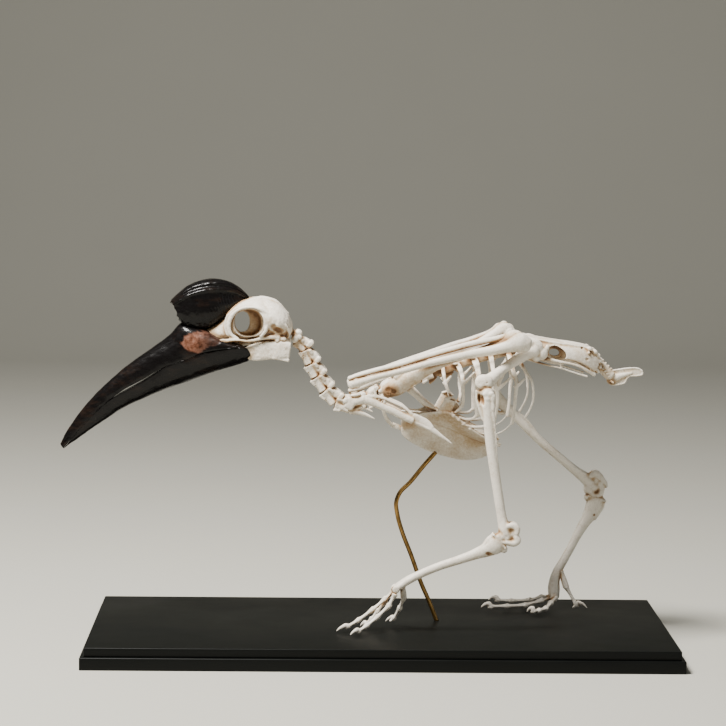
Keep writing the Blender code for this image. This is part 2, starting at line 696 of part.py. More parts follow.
PELVIS = [
    (117, 317, 118, 309, 6), (128, 324, 128, 309, 12), (142, 330, 143, 308, 16), (158, 329.5, 158, 304.5, 24),
    (172, 328, 172, 304, 27), (190, 325.5, 190, 302.6, 28), (202, 324, 202, 300, 27),
    (213, 322.6, 213, 297.4, 26), (223, 321, 223, 294, 24), (232, 318.8, 231.5, 289, 21),
    (241, 314, 240, 284.2, 17), (249, 305.5, 247, 287.5, 12),
]
PELVIS_WALL = 2.2


def build_pelvis(cage):
    outer = shell_form(PELVIS, sides=12, level=0.3, power=2.7)
    inner_rows = []
    for top_x, top_z, bottom_x, bottom_z, half in PELVIS:
        inner_rows.append((top_x, top_z - PELVIS_WALL, bottom_x, bottom_z - 24, half - PELVIS_WALL))
    inner_rows[0] = (112, 314, 112, 280, 4)
    inner_rows[-1] = (258, 300, 258, 250, 9)
    inner = shell_form(inner_rows, sides=12, level=0.6, power=2.9)
    roof = cut(outer, [inner])
    sacrum = shaft([(156, 0, 314, 6, 6), (180, 0, 314, 6, 5), (210, 0, 311, 5, 4.5), (235, 0, 305, 5, 4.5),
                    (247, 0, 299, 4.5, 4.5)], sides=6, blunt=0)
    crest = slab([(150, 330), (200, 324), (233, 318), (243, 310), (243, 300), (210, 308),
                (156, 312)], -1.2, 1.2)
    pieces = [roof, sacrum, crest]
    for way in (LEFT, RIGHT):
        socket = ball((159, way * 24, 311), (8.5, 5, 8.5), fine=1)
        sitter = shaft(on_side([(190, 27, 304, 1.4, 2), (213, 25, 298.6, 1.4, 2), (231, 20.4, 290.6, 1.3, 2.2),
                                (242, 15.6, 285.4, 1.2, 2.4)], way), sides=5, blunt=0)
        pubis = shaft(on_side([(163, 25, 304.5, 1.5, 2), (176, 26, 300.4, 1.2, 1.4), (190, 26, 296.6, 1, 1.2),
                               (212, 24.4, 290.6, 1, 1.2), (231, 21.6, 284.8, 1.2, 1.3)], way), sides=5, blunt=0)
        tie = shaft(on_side([(199, 26.6, 303, 1.1, 1.6), (202, 25.4, 294, 1, 1.2)], way), sides=4,
                    across_axis=(1, 0, 0), blunt=0)
        strut_rows = on_side([(171, 2, 315, 2.2, 1.4), (171, 25, 318, 2.2, 1.4)], way)
        strut = shaft(strut_rows, sides=4, across_axis=(1, 0, 0), blunt=0)
        pieces += [socket, sitter, pubis, tie, strut]
    pelvis = join(pieces)
    cutters = []
    for way in (LEFT, RIGHT):
        hole = [(187.6, 318.6), (194.6, 319.6), (201.4, 316.4), (206.4, 311), (206.6, 306.6), (200.6, 304.4),
                (193.6, 305.4), (188.4, 309), (186, 314)]
        near, far = sorted((way * 12, way * 40))
        cutters.append(slab(hole, near, far))
        cutters.append(ball((159, way * 27, 311), (5.2, 5, 5.2), fine=1))
    cut(pelvis, cutters)
    fit_against(pelvis, cage)
    return finish(pelvis, "pelvis", BONE)


TAIL_BONES = 4


def build_tail(pelvis):
    pieces = []
    for i in range(TAIL_BONES):
        x = 249 + 3.6 * i
        z = 295 - 3.2 * i
        half = 5.5 - 0.6 * i
        pieces.append(shaft([(x - 3, 0, z + 2, 4.4, 4.6), (x + 2, 0, z - 2, 4.4, 4.6)], sides=6, blunt=0))
        rows = [(x, -2.6 * half, z - 2, 1.4, 1.1), (x, 0, z, 2, 2.2), (x, 2.6 * half, z - 2, 1.4, 1.1)]
        pieces.append(shaft(rows, sides=4, across_axis=(1, 0, 0), blunt=0))
        pieces.append(slab([(x - 2, z + 2), (x + 1, z + 8), (x + 3.4, z + 7), (x + 2, z)], -1.1, 1.1))
    caudals = join(pieces)
    fit_against(caudals, [pelvis])
    finish(caudals, "tail_vertebrae", BONE)
    blade = slab([
        (260, 290), (277, 292), (291, 292), (297.5, 287), (294, 284), (281, 282), (277, 275), (260, 273),
        (256, 280),
    ], -1.6, 1.6)
    core = shaft([(260, 0, 281, 4.5, 6), (270, 0, 283, 3.6, 5), (284, 0, 287, 2.2, 3)], sides=6, blunt=0)
    last = join([blade, core])
    finish(fit_against(last, [caudals]), "pygostyle", BONE)


# The legs

FEMUR = {
    "left": [(158, -31, 312, 6, 7), (150, -38, 305, 5.2, 5.8), (135, -50, 296, 5, 5.4),
             (122, -60, 287, 6.5, 6.5),
             (113, -66, 280, 8, 8.5)],
    "right": [(158, 31, 312, 6, 7), (152, 38, 303, 5.2, 5.8), (143, 48, 288, 5, 5.4),
              (135, 57, 274, 6.5, 6.5),
              (131, 62, 265, 8, 8.5)],
}
SHIN = {
    "left": [(114, -70, 272, 8, 8.6), (114.4, -71, 264, 7.5, 8.2), (116, -72, 250, 6.2, 6.8),
             (117.6, -72, 235, 5.4, 6.2), (120, -72, 212, 5.2, 5.8), (124.4, -72, 184, 5, 5.6),
             (130, -72, 150, 5, 5.5), (134, -72, 128, 5.6, 5.8), (137, -72, 117, 7.4, 7.6),
             (138.5, -72, 109, 7.5, 8.6)],
    "right": [(129, 66, 260, 8, 9.5), (132, 68, 253, 7.5, 9), (142, 70, 243, 6, 7),
              (154, 72, 232, 5.2, 5.8), (170, 72, 216, 4.9, 5.4), (187, 72, 199.5, 4.8, 5.2),
              (211, 72, 179, 4.7, 5.1), (230, 72, 163.5, 5, 5.6), (245, 72, 152, 6.5, 7.8),
              (252, 72, 145, 7.5, 9.4)],
}
FOOT_SHAFT = {
    "left": [(130.5, -72, 103.5, 8.5, 10.6), (126, -72, 99.6, 8.4, 10.8), (118, -72, 94.6, 7.2, 8.4),
             (106, -72, 89.6, 5.8, 6.2), (87, -72, 82.6, 5, 5), (65, -71, 75, 4.8, 4.6),
             (43, -70.5, 65.5, 5.2, 4.5), (28, -70, 57.5, 7, 4.6), (17, -70, 50, 9, 4.2)],
    "right": [(254.5, 72, 131, 8.5, 10.2), (252.5, 72, 124, 8.2, 10), (248.6, 72, 114, 7.2, 8.6),
              (242.5, 72, 104, 6, 6.6), (234, 72, 89, 5.2, 5.2), (225, 72, 71, 4.8, 4.7),
              (217.5, 72, 57, 5.2, 4.8), (211, 72, 45, 5.8, 5.4), (207.4, 72, 33, 7, 6.2),
              (206.8, 72, 22, 8.8, 7), (207.2, 72, 15, 9, 6.4)],
}
TOES = {
    "left_inner": [(14, -62, 46), (4, -59, 31), (-4, -57, 20), (-11, -56, 10.5), (-17, -55, 5.5),
                   (-23, -54, 2)],
    "left_middle": [(13, -68, 45), (4, -67, 36), (-10, -70, 24.5), (-26, -73, 13), (-38, -77, 6.5),
                    (-50, -80, 1.6)],
    "left_outer": [(15, -77, 44), (8, -77, 30), (-5, -80, 18), (-17, -87, 9.5), (-26, -94, 5),
                   (-35, -101, 1.6)],
    "left_rear": [(24, -61, 50), (25.4, -54, 35), (21.4, -47, 22), (15, -40, 9), (6, -34, 3.6)],
    "right_inner": [(208, 64, 14), (202, 57, 9), (195, 43, 5.5), (186, 33, 5), (179, 28, 5.5),
                    (172, 28, 1.6)],
    "right_middle": [(206, 71, 14), (192, 70, 9.5), (172, 62, 5.5), (150, 58, 5), (131, 53, 5.5),
                     (120, 52, 1.6)],
    "right_outer": [(206, 79, 14), (193, 87, 10.5), (180, 91, 6), (158, 91, 5), (142, 93, 5.5),
                    (132, 97, 1.6)],
    "right_rear": [(214.6, 71, 45), (220.6, 67, 27), (232.6, 61, 6.4), (244.6, 57, 0.8)],
}
TOE_RADIUS = 3.7
CLAW_TIP = 0.7
# How far each foot's claws rise above the line from their root to their tip
CLAW_RISE = {"left": 2.2, "right": 4.4}


def build_toe(name, neighbours):
    """A chain of toe bones, thick at each joint and thin between, ending in a claw that arches forward."""
    path = [np.array(point, dtype=float) for point in TOES[name]]
    rows = []
    for i, here in enumerate(path[:-2]):
        joint = TOE_RADIUS * (1 - 0.06 * i)
        waist = 0.7 * joint
        there = path[i + 1]
        rows.append((*here, joint, joint))
        rows.append((*(0.5 * (here + there)), waist, waist))
    heel, tip = path[-2:]
    rise = CLAW_RISE[name.split("_")[0]]
    rows.append((*(heel + np.array((0, 0, 0.2 * rise))), 2.9, 3.1))
    rows.append((*(0.6 * heel + 0.4 * tip + np.array((0, 0, rise))), 1.9, 2.4))
    rows.append((*(0.3 * heel + 0.7 * tip + np.array((0, 0, rise))), 1.3, 1.7))
    rows.append((*(tip + np.array((0, 0, 0.5 * rise))), CLAW_TIP, CLAW_TIP))
    toe = shaft(rows, sides=5, blunt=0)
    floor = block((-120, -140, -40), (300, 140, GAP))
    cut(toe, [floor])
    fit_against(toe, neighbours)
    return finish(toe, "toe_" + name, BONE)


def build_leg(side, pelvis):
    way = SIDES[side]
    head = ball((159, way * 24, 311), (5, 6.5, 5), fine=1)
    trochanter = ball((159, way * 31, 316), (6, 4.5, 6), fine=1)
    x, across, z = FEMUR[side][-1][:3]
    condyles = [ball((x - 1.6, across + shift, z + 1), (9.6, 4.6, 9), fine=1) for shift in (-5, 5)]
    femur = join([shaft(FEMUR[side]), head, trochanter, *condyles])
    fit_against(femur, [pelvis])
    finish(femur, "femur_" + side, BONE)
    shin_rows = SHIN[side]
    x, across, z = shin_rows[0][:3]
    crest_rows = [(x - 4, across, z + 1, 2, 4), (x - 7, across, z - 10, 1.8, 4),
                  (x - 1, across, z - 26, 1.6, 4)]
    crest = shaft(crest_rows, sides=6)
    fibula_top = across + way * 6.5
    x1, _, z1 = shin_rows[3][:3]
    x2, _, z2 = shin_rows[5][:3]
    fibula = shaft([(x + 6, fibula_top, z - 1, 2.4, 3.4), (x1 + 5, across + way * 5.5, z1, 1.6, 1.6),
                    (x2 + 3, across + way * 3.5, z2, 1.1, 1.1)], sides=6)
    x, across, z = shin_rows[-1][:3]
    knuckles = [ball((x + 2.5, across + shift, z + 2), (12, 4, 13), fine=1) for shift in (-4.5, 4.5)]
    shin = join([shaft(shin_rows), crest, fibula, *knuckles])
    fit_against(shin, [femur])
    finish(shin, "tibiotarsus_" + side, BONE)
    foot_rows = FOOT_SHAFT[side]
    start = np.array(foot_rows[0][:3], dtype=float)
    heading = np.array(foot_rows[1][:3], dtype=float) - start
    heading /= np.linalg.norm(heading)
    back = np.array((-heading[2], 0, heading[0]))
    if side == "left":
        back = -back
    ridge_rows = [
        (*(start + heading * 5 + back * 4), 3, 4),
        (*(start + heading * 9 + back * 9.5), 2.4, 3),
        (*(start + heading * 22 + back * 4), 1.6, 1.6),
    ]
    ridge = shaft(ridge_rows, sides=6)
    x, across, z = foot_rows[-1][:3]
    knobs = [ball((x - 2, across + shift, z - 2), (5, 3, 5.5), fine=1) for shift in (-7.5, 0, 7.5)]
    tarsus = join([shaft(foot_rows), ridge, *knobs])
    fit_against(tarsus, [shin])
    finish(tarsus, "tarsometatarsus_" + side, BONE)
    fitted = [tarsus]
    for toe in ("inner", "middle", "outer", "rear"):
        fitted.append(build_toe(side + "_" + toe, fitted))


def main():
    clear_scene()
    build_base()
    skull = build_head()
    last_neck = build_neck(skull)
    sternum = build_sternum()
    cage = build_chest(last_neck, sternum)
    shoulders = build_shoulders(sternum, cage)
    build_rod(sternum)
    finish(sternum, "sternum", BONE)
    build_wings(shoulders, cage)
    pelvis = build_pelvis(cage)
    build_tail(pelvis)
    for side in SIDES:
        build_leg(side, pelvis)


main()
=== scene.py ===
"""The looks of a mounted ground hornbill skeleton, laid out as an add-on.

Places are written in millimetres as (x, side, z): x from the bill towards the tail, side from the
bird's midline to its right, z above the base's top. Every surface is a closed grid: rings of points
around a path, with the first and last ring drawn together to a pole.
"""

import bmesh
import bpy
import numpy as np
from bpy.props import FloatProperty, FloatVectorProperty, PointerProperty
from mathutils import Matrix, Vector


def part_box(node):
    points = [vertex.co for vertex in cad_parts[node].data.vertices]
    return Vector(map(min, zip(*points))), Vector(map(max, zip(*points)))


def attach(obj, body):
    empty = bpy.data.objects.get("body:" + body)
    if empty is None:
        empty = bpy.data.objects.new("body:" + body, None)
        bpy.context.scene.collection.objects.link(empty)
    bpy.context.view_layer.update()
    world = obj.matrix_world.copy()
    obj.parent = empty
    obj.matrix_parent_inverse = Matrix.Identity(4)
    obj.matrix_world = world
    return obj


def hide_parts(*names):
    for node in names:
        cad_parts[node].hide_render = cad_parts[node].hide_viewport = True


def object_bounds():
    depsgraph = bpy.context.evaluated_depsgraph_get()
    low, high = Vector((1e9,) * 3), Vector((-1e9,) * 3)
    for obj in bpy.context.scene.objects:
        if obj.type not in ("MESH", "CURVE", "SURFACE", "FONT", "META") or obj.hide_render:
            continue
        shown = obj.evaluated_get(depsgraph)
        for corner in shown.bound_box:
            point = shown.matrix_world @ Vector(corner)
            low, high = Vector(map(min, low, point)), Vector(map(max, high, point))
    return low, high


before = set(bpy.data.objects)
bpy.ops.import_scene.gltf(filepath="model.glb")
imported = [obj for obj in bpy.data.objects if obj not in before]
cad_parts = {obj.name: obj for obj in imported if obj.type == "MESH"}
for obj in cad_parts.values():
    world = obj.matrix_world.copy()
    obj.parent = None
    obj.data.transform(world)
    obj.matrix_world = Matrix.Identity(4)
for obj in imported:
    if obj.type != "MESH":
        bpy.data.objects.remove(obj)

bl_info = {
    "name": "Hornbill skeleton",
    "version": (1, 0, 0),
    "blender": (4, 5, 0),
    "location": "View3D > Sidebar > Skeleton",
    "description": "Builds the bones, horn and mount of a ground hornbill skeleton",
    "category": "Add Mesh",
}

CAD_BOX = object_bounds()
MM = 0.001
MIDLINE = 0.5 * (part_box("upper_bill")[0][1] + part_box("upper_bill")[1][1])
BASE_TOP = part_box("base_upper_step")[1][2]
ORIGIN = np.array((0.0, MIDLINE, BASE_TOP))
BILL_SLANT = np.radians(36.0)
LEFT = -1
RIGHT = 1
SIDES = {"left": LEFT, "right": RIGHT}


# Sizes and colours that a user would change

class BoneSettings(bpy.types.PropertyGroup):
    colour: FloatVectorProperty(
        name="Bone", description="Bleached bone in the open", subtype="COLOR", size=3,
        default=(0.88, 0.82, 0.71))
    # The second colour serves both for real stains and for painted shade in hollows, crowded places and on
    # undersides
    stain: FloatVectorProperty(
        name="Stain_and_shade", description="Bone in hollows and at joints", subtype="COLOR", size=3,
        default=(0.34, 0.165, 0.06))
    detail: FloatProperty(
        name="Detail", description="Size of the smallest step in a bone's mesh", unit="LENGTH",
        default=0.0006)
    grain: FloatProperty(
        name="Grain", description="Depth of the unevenness of a bone", unit="LENGTH", default=0.00013)


class HornSettings(bpy.types.PropertyGroup):
    colour: FloatVectorProperty(
        name="Horn", description="Black horn", subtype="COLOR", size=3, default=(0.0040, 0.0034, 0.0034))
    mottle: FloatVectorProperty(
        name="Mottle", description="Brown flecks in the horn", subtype="COLOR", size=3,
        default=(0.016, 0.0090, 0.0060))
    patch: FloatVectorProperty(
        name="Patch", description="Rust patch at the bill's base", subtype="COLOR", size=3,
        default=(0.095, 0.032, 0.014))


class MountSettings(bpy.types.PropertyGroup):
    paint: FloatVectorProperty(
        name="Paint", description="Black paint of the base", subtype="COLOR", size=3,
        default=(0.0026, 0.0031, 0.0027))
    brass: FloatVectorProperty(
        name="Brass", description="Aged brass of the rod", subtype="COLOR", size=3,
        default=(0.34, 0.20, 0.065))
    rod_radius: FloatProperty(
        name="Rod radius", description="Radius of the brass rod", unit="LENGTH", default=0.0025)


class StageSettings(bpy.types.PropertyGroup):
    floor: FloatVectorProperty(
        name="Floor", description="Plain pale floor", subtype="COLOR", size=3, default=(0.50, 0.49, 0.43))
    key: FloatProperty(name="Key light", description="Strength of the large soft light", default=205.0)
    fill: FloatProperty(name="Fill light", description="Strength of the light on the shadow side",
                        default=5.0)
    lens: FloatProperty(name="Lens", description="Focal length for a 36 mm sensor", unit="CAMERA",
                        default=129.76)


def settings(group):
    """One group of the user's sizes and colours."""
    return getattr(bpy.context.scene, group)


# Surfaces as grids, in millimetres

def unit(vectors):
    """Each vector divided by its own length."""
    return vectors / np.maximum(np.linalg.norm(vectors, axis=-1, keepdims=True), 1e-9)


def through(rows, steps):
    """A curve through every row: cubic Hermite pieces, each slope the mean of those on both sides."""
    given = np.array(rows, dtype=float)
    gaps = np.linalg.norm(np.diff(given[:, :3], axis=0), axis=1)
    slopes = np.gradient(given, np.concatenate(([0.0], np.cumsum(gaps))), axis=0)
    t = np.linspace(0, len(given) - 1, (len(given) - 1) * steps + 1)
    i = np.minimum(t.astype(int), len(given) - 2)
    f = (t - i)[:, None]
    gap = gaps[i][:, None]
    start = (2 * f**3 - 3 * f**2 + 1) * given[i] + (f**3 - 2 * f**2 + f) * gap * slopes[i]
    end = (3 * f**2 - 2 * f**3) * given[i + 1] + (f**3 - f**2) * gap * slopes[i + 1]
    return start + end


def rounded(around, power):
    """A rounded square: cosine and sine of the angle, each raised to 2 / power with its sign kept."""
    angle = 2 * np.pi * np.arange(around) / around
    c = np.cos(angle)
    s = np.sin(angle)
    return np.sign(c) * np.abs(c) ** (2 / power), np.sign(s) * np.abs(s) ** (2 / power)


DOME_RINGS = 5


def carried(rows, across=(0, 1, 0), power=2.0, around=20, steps=6, dome=0.8):
    """An oval carried along a path, with domed ends.

    A row is x, side, z, half width across, half depth. Point = centre + wide * u * width +
    high * v * depth, where high stands square to the path and to wide. Each dome shrinks the end
    oval by the sine of a quarter turn while it moves out by the cosine times dome times its radius.
    """
    data = through(rows, steps)
    centre = data[:, :3]
    size = data[:, 3:5]
    along = unit(np.gradient(centre, axis=0))
    across = np.array(across, dtype=float)
    wide = unit(across - along * (along @ across)[:, None])
    high = np.cross(along, wide)
    quarter = np.linspace(0.0, np.pi / 2, DOME_RINGS + 1)[:-1]
    last = len(data) - 1
    index = np.concatenate((np.zeros(DOME_RINGS, int), np.arange(last + 1), np.full(DOME_RINGS, last)))
    scale = np.concatenate((np.sin(quarter), np.ones(last + 1), np.sin(quarter[::-1])))[:, None, None]
    reach = dome * size.min(axis=1)
    shift = np.concatenate((-np.cos(quarter) * reach[0], np.zeros(last + 1),
                            np.cos(quarter[::-1]) * reach[-1]))
    u, v = rounded(around, power)
    offset = wide[index][:, None] * (size[index, 0:1] * u)[..., None]
    offset = offset + high[index][:, None] * (size[index, 1:2] * v)[..., None]
    return centre[index][:, None] + offset * scale + (along[index] * shift[:, None])[:, None]


def closed(rings):
    """The rings with a pole at each end: a ring drawn together to the middle of its neighbour."""
    middle = rings.mean(axis=1, keepdims=True) + 0 * rings
    return np.concatenate((middle[:1], rings, middle[-1:]))


def bodied(rows, level=0.45, power=2.2, around=48, steps=8, hang=2.2):
    """A two-sided body between an upper and a lower curve, widest at a level from 0 to 1 up.

    A row is top x, top z, bottom x, bottom z, half width. At angle a the side is half * u and the
    height goes from the level to the top as v rises to 1, and from the level to the bottom below.
    """
    data = through(rows, steps)
    u, v = rounded(around, power)
    v_low = rounded(around, hang)[1]
    rise = np.where(v > 0, level + v * (1 - level), level + v_low * level)
    x = data[:, 2:3] + (data[:, 0:1] - data[:, 2:3]) * rise
    z = data[:, 3:4] + (data[:, 1:2] - data[:, 3:4]) * rise
    return closed(np.stack((x, data[:, 4:5] * u, z), axis=-1))


def ball(centre, radii, tilt=0.0, power=2.0, around=28):
    """An egg: rings of sine times radius at heights of cosine times radius, tilted about the side axis."""
    polar = np.linspace(0.0, np.pi, around // 2 + 1)[:, None]
    u, v = rounded(around, power)
    round_part = np.sin(polar) ** (2 / power)
    tall = np.sign(np.cos(polar)) * np.abs(np.cos(polar)) ** (2 / power)
    grid = np.stack((round_part * u, tall + 0 * u, round_part * v), axis=-1) * np.array(radii, dtype=float)
    c = np.cos(np.radians(tilt))
    s = np.sin(np.radians(tilt))
    turn = np.array([[c, 0, s], [0, 1, 0], [-s, 0, c]])
    return grid @ turn.T + np.array(centre, dtype=float)


def sheet(top, thickness):
    """A closed curved plate: each row goes over the top and back under it, thickness lower."""
    under = top - np.array((0.0, 0.0, thickness))
    return closed(np.concatenate((top, under[:, ::-1]), axis=1))


def plate(outline, low, high, steps=5):
    """A flat plate: a closed smooth outline of (x, z) points carried from one side to the other."""
    given = [(x, 0.0, z) for x, z in outline + outline[:1]]
    loop = through(given, steps)[:-1]
    sides = np.array((low, low, high, high), dtype=float)
    shrink = np.array((0.0, 1.0, 1.0, 0.0))[:, None, None]
    middle = loop.mean(axis=0)
    rings = middle + (loop[None] - middle) * shrink
    rings[..., 1] = sides[:, None]
    return rings


def mirrored(rows, way):
    """The same rows on the bird's left or right."""
    return [(x, way * side, *rest) for x, side, *rest in rows]


def both_sides(spots):
    """Each soft spot on the bird's left, then each on its right."""
    return [spot for way in (LEFT, RIGHT) for spot in mirrored(spots, way)]


# Meshes from grids

WELD = 1e-7


def mesh_of(grids):
    """One mesh from closed grids: quads between neighbouring rings, poles merged, faces outwards."""
    points = []
    quads = []
    start = 0
    for grid in grids:
        rings, around = grid.shape[:2]
        here = start + np.arange(rings * around).reshape(rings, around)
        beside = np.roll(here, -1, axis=1)
        quads.append(np.stack((here[:-1], beside[:-1], beside[1:], here[1:]), axis=-1).reshape(-1, 4))
        points.append(grid.reshape(-1, 3))
        start += rings * around
    places = np.concatenate(points) * MM + ORIGIN
    mesh = bpy.data.meshes.new("working")
    mesh.from_pydata(places.tolist(), [], np.concatenate(quads).tolist())
    bm = bmesh.new()
    bm.from_mesh(mesh)
    bmesh.ops.remove_doubles(bm, verts=bm.verts, dist=WELD)
    bmesh.ops.recalc_face_normals(bm, faces=bm.faces)
    bm.to_mesh(mesh)
    bm.free()
    return mesh


def joined(mesh, shell):
    """The mesh with a shell added to it where there is one, without welding."""
    if shell is None:
        return mesh
    bm = bmesh.new()
    bm.from_mesh(mesh)
    bm.from_mesh(shell)
    bm.to_mesh(mesh)
    bm.free()
    return mesh


def modified(mesh, kind, **values):
    """The mesh after one modifier."""
    carrier = bpy.data.objects.new("working", mesh)
    bpy.context.scene.collection.objects.link(carrier)
    modifier = carrier.modifiers.new(kind, kind)
    for name, value in values.items():
        setattr(modifier, name, value)
    graph = bpy.context.evaluated_depsgraph_get()
    result = bpy.data.meshes.new_from_object(carrier.evaluated_get(graph))
    bpy.data.objects.remove(carrier, do_unlink=True)
    return result


def without(mesh, cutter):
    """The mesh less a cutter, by one Boolean."""
    tool = bpy.data.objects.new("cutter", cutter)
    bpy.context.scene.collection.objects.link(tool)
    result = modified(mesh, "BOOLEAN", operation="DIFFERENCE", solver="MANIFOLD", object=tool)
    bpy.data.objects.remove(tool, do_unlink=True)
    return result


def remeshed(mesh, step):
    """One skin over everything that the mesh holds, with steps of one size."""
    return modified(mesh, "REMESH", mode="VOXEL", voxel_size=step, adaptivity=0.0)


def arrays(mesh):
    """The place of each vertex, and the two vertices of each edge."""
    places = np.empty(len(mesh.vertices) * 3)
    mesh.vertices.foreach_get("co", places)
    edges = np.empty(len(mesh.edges) * 2, dtype=np.int64)
    mesh.edges.foreach_get("vertices", edges)
    return places.reshape(-1, 3), edges.reshape(-1, 2)


def normals(mesh):
    """The direction in which the surface faces at each vertex."""
    facing = np.empty(len(mesh.vertices) * 3)
    mesh.vertex_normals.foreach_get("vector", facing)
    return facing.reshape(-1, 3)


def put_places(mesh, places):
    """Moves every vertex of the mesh to its new place."""
    mesh.vertices.foreach_set("co", places.ravel())
    mesh.update()


def in_millimetres(places):
    """Places in the scene's metres as (x, side, z) in millimetres."""
    return (places - ORIGIN) / MM


def neighbour_mean(values, edges):
    """The mean of each vertex's neighbours, as sums over edge ends divided by their number."""
    count = len(values)
    ends = np.concatenate((edges[:, 0], edges[:, 1]))
    others = np.concatenate((edges[:, 1], edges[:, 0]))
    number = np.maximum(np.bincount(ends, minlength=count), 1)
    columns = [np.bincount(ends, weights=values[others, k], minlength=count) / number
               for k in range(values.shape[1])]
    return np.stack(columns, axis=1)


STEP_IN = 0.55
STEP_BACK = -0.57


def relax(mesh, times):
    """Taubin's smoothing: a step towards the neighbours' mean, then a slightly longer one back."""
    places, edges = arrays(mesh)
    for _ in range(times):
        for share in (STEP_IN, STEP_BACK):
            places += share * (neighbour_mean(places, edges) - places)
    put_places(mesh, places)


LATTICE = 32


def cloud(points, size, seed):
    """Smooth noise from -1 to 1: random values at the corners of a lattice, eased between them."""
    table = np.random.default_rng(seed).uniform(-1.0, 1.0, (LATTICE, LATTICE, LATTICE))
    spot = points / size
    low = np.floor(spot).astype(int)
    f = spot - low
    f = f * f * (3 - 2 * f)
    total = np.zeros(len(points))
    for corner in np.ndindex(2, 2, 2):
        share = np.prod(np.where(corner, f, 1 - f), axis=1)
        x, y, z = ((low + corner) % LATTICE).T
        total += share * table[x, y, z]
    return total


# A bone's hollows: passes of smoothing, passes that even the result, and the depth that counts as 1

HOLLOW_BLURS = 10
HOLLOW_EVENING = 3
FULL_HOLLOW = 0.5 * MM


def hollowness(mesh):
    """How far a surface lies below its own smoothed copy, from -1 on a crest to 1 in a pit."""
    places, edges = arrays(mesh)
    smooth = places.copy()
    for _ in range(HOLLOW_BLURS):
        smooth += 0.9 * (neighbour_mean(smooth, edges) - smooth)
    depth = np.sum((smooth - places) * normals(mesh), axis=1)[:, None]
    for _ in range(HOLLOW_EVENING):
        depth = 0.5 * depth + 0.5 * neighbour_mean(depth, edges)
    return np.clip(depth[:, 0] / FULL_HOLLOW, -1.0, 1.0)


def write_attribute(mesh, name, values):
    """Keeps one value for each vertex under a name that the materials read."""
    layer = mesh.attributes.new(name, "FLOAT", "POINT")
    layer.data.foreach_set("value", np.asarray(values, dtype=np.float32))


def spot_strength(points, spots):
    """The strongest of several soft spots. A spot is x, side, z, radius, strength, in millimetres.

    It is full out to 0.4 of its radius and gone at 1.4 of it.
    """
    total = np.zeros(len(points))
    for x, side, z, radius, strength in spots:
        distance = np.linalg.norm(points - np.array((x, side, z)), axis=1)
        total = np.maximum(total, strength * np.clip(1.4 - distance / radius, 0.0, 1.0))
    return total


def shown(name, mesh, finish, nodes):
    """Puts a finished mesh into the scene in place of its CAD nodes."""
    piece = bpy.data.objects.new(name, mesh)
    bpy.context.scene.collection.objects.link(piece)
    mesh.name = name
    mesh.materials.clear()
    mesh.materials.append(finish)
    mesh.shade_smooth()
    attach(piece, "root")
    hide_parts(*nodes)


def end_share(places):
    """How near each point lies to an end of its bone: 0 along the shaft, rising to 1 at the ends.

    The bone's long axis is the direction in which its points spread most. The rise goes from 0.72
    to 0.90 of half the length.
    """
    centred = places - places.mean(axis=0)
    along = centred @ np.linalg.eigh(centred.T @ centred)[1][:, -1]
    share = np.abs(along - 0.5 * (along.max() + along.min())) / (0.5 * np.ptp(along))
    return np.clip((share - 0.72) / 0.18, 0.0, 1.0)


# The sizes of the two clouds that make a bone uneven, in metres

COARSE_GRAIN = 0.0042
FINE_GRAIN = 0.0019


def grown_bone(name, grids, cutters=(), step=1.0, smooth=3, spots=(), rough=1.5, shaft=0.35, shell=None):
    """A bone grown from overlapping grids: one skin, hollows cut and rounded, then an uneven surface.

    Each point moves along its normal by grain * rough * (coarse cloud + half the fine cloud), less
    by the factor shaft where it is far from the bone's ends.
    """
    bone = settings("bone")
    size = bone.detail * step
    mesh = remeshed(joined(mesh_of(grids), shell), size)
    if cutters:
        mesh = without(mesh, remeshed(mesh_of(cutters), size))
        mesh = remeshed(mesh, size)
    relax(mesh, smooth)
    hollow = hollowness(mesh)
    places, _ = arrays(mesh)
    uneven = cloud(places, COARSE_GRAIN, 1) + 0.5 * cloud(places, FINE_GRAIN, 2)
    amount = rough * (shaft + (1 - shaft) * end_share(places))
    places += normals(mesh) * (bone.grain * amount * uneven)[:, None]
    put_places(mesh, places)
    # The hollowness, which the material turns into painted shade in hollows and creases
    write_attribute(mesh, "hollow", hollow)
    # Soft spots of real stains and of painted shade; painted shade of crowding and of undersides is added
    # later
    write_attribute(mesh, "stain", spot_strength(in_millimetres(places), spots))
    shown(name, mesh, material("bleached_bone", bone_material), (name,))


# Materials

def fill(tree, socket, value):
    """Links a socket to another one, or sets it to a number or a colour."""
    if isinstance(value, bpy.types.NodeSocket):
        tree.links.new(value, socket)
    else:
        socket.default_value = value


def node(tree, kind, inputs=(), **values):
    """Adds a shader node, sets its values, and fills each given input with a number or a link."""
    made = tree.nodes.new(kind)
    for name, value in values.items():
        setattr(made, name, value)
    for place, value in dict(inputs).items():
        fill(tree, made.inputs[place], value)
    return made


def ramp(tree, factor, stops):
    """A colour ramp with the given (position, colour) stops."""
    made = node(tree, "ShaderNodeValToRGB", {"Fac": factor})
    band = made.color_ramp
    while len(band.elements) < len(stops):
        band.elements.new(1.0)
    for element, (position, colour) in zip(band.elements, stops):
        element.position = position
        element.color = (*colour, 1.0)
    return made.outputs["Color"]


def grey(value):
    """A colour with three equal parts."""
    return (value, value, value)


# The places of a colour mix among its node's inputs and outputs

MIX_FACTOR = 0
MIX_FIRST = 6
MIX_SECOND = 7
MIX_RESULT = 2


def mixed(tree, factor, first, second):
    """A mix of two colours, each a link or three numbers, by a factor from 0 to 1."""
    inputs = {MIX_FACTOR: factor}
    for place, colour in ((MIX_FIRST, first), (MIX_SECOND, second)):
        linked = isinstance(colour, bpy.types.NodeSocket)
        inputs[place] = colour if linked else (*colour, 1.0)
    return node(tree, "ShaderNodeMix", inputs, data_type="RGBA").outputs[MIX_RESULT]


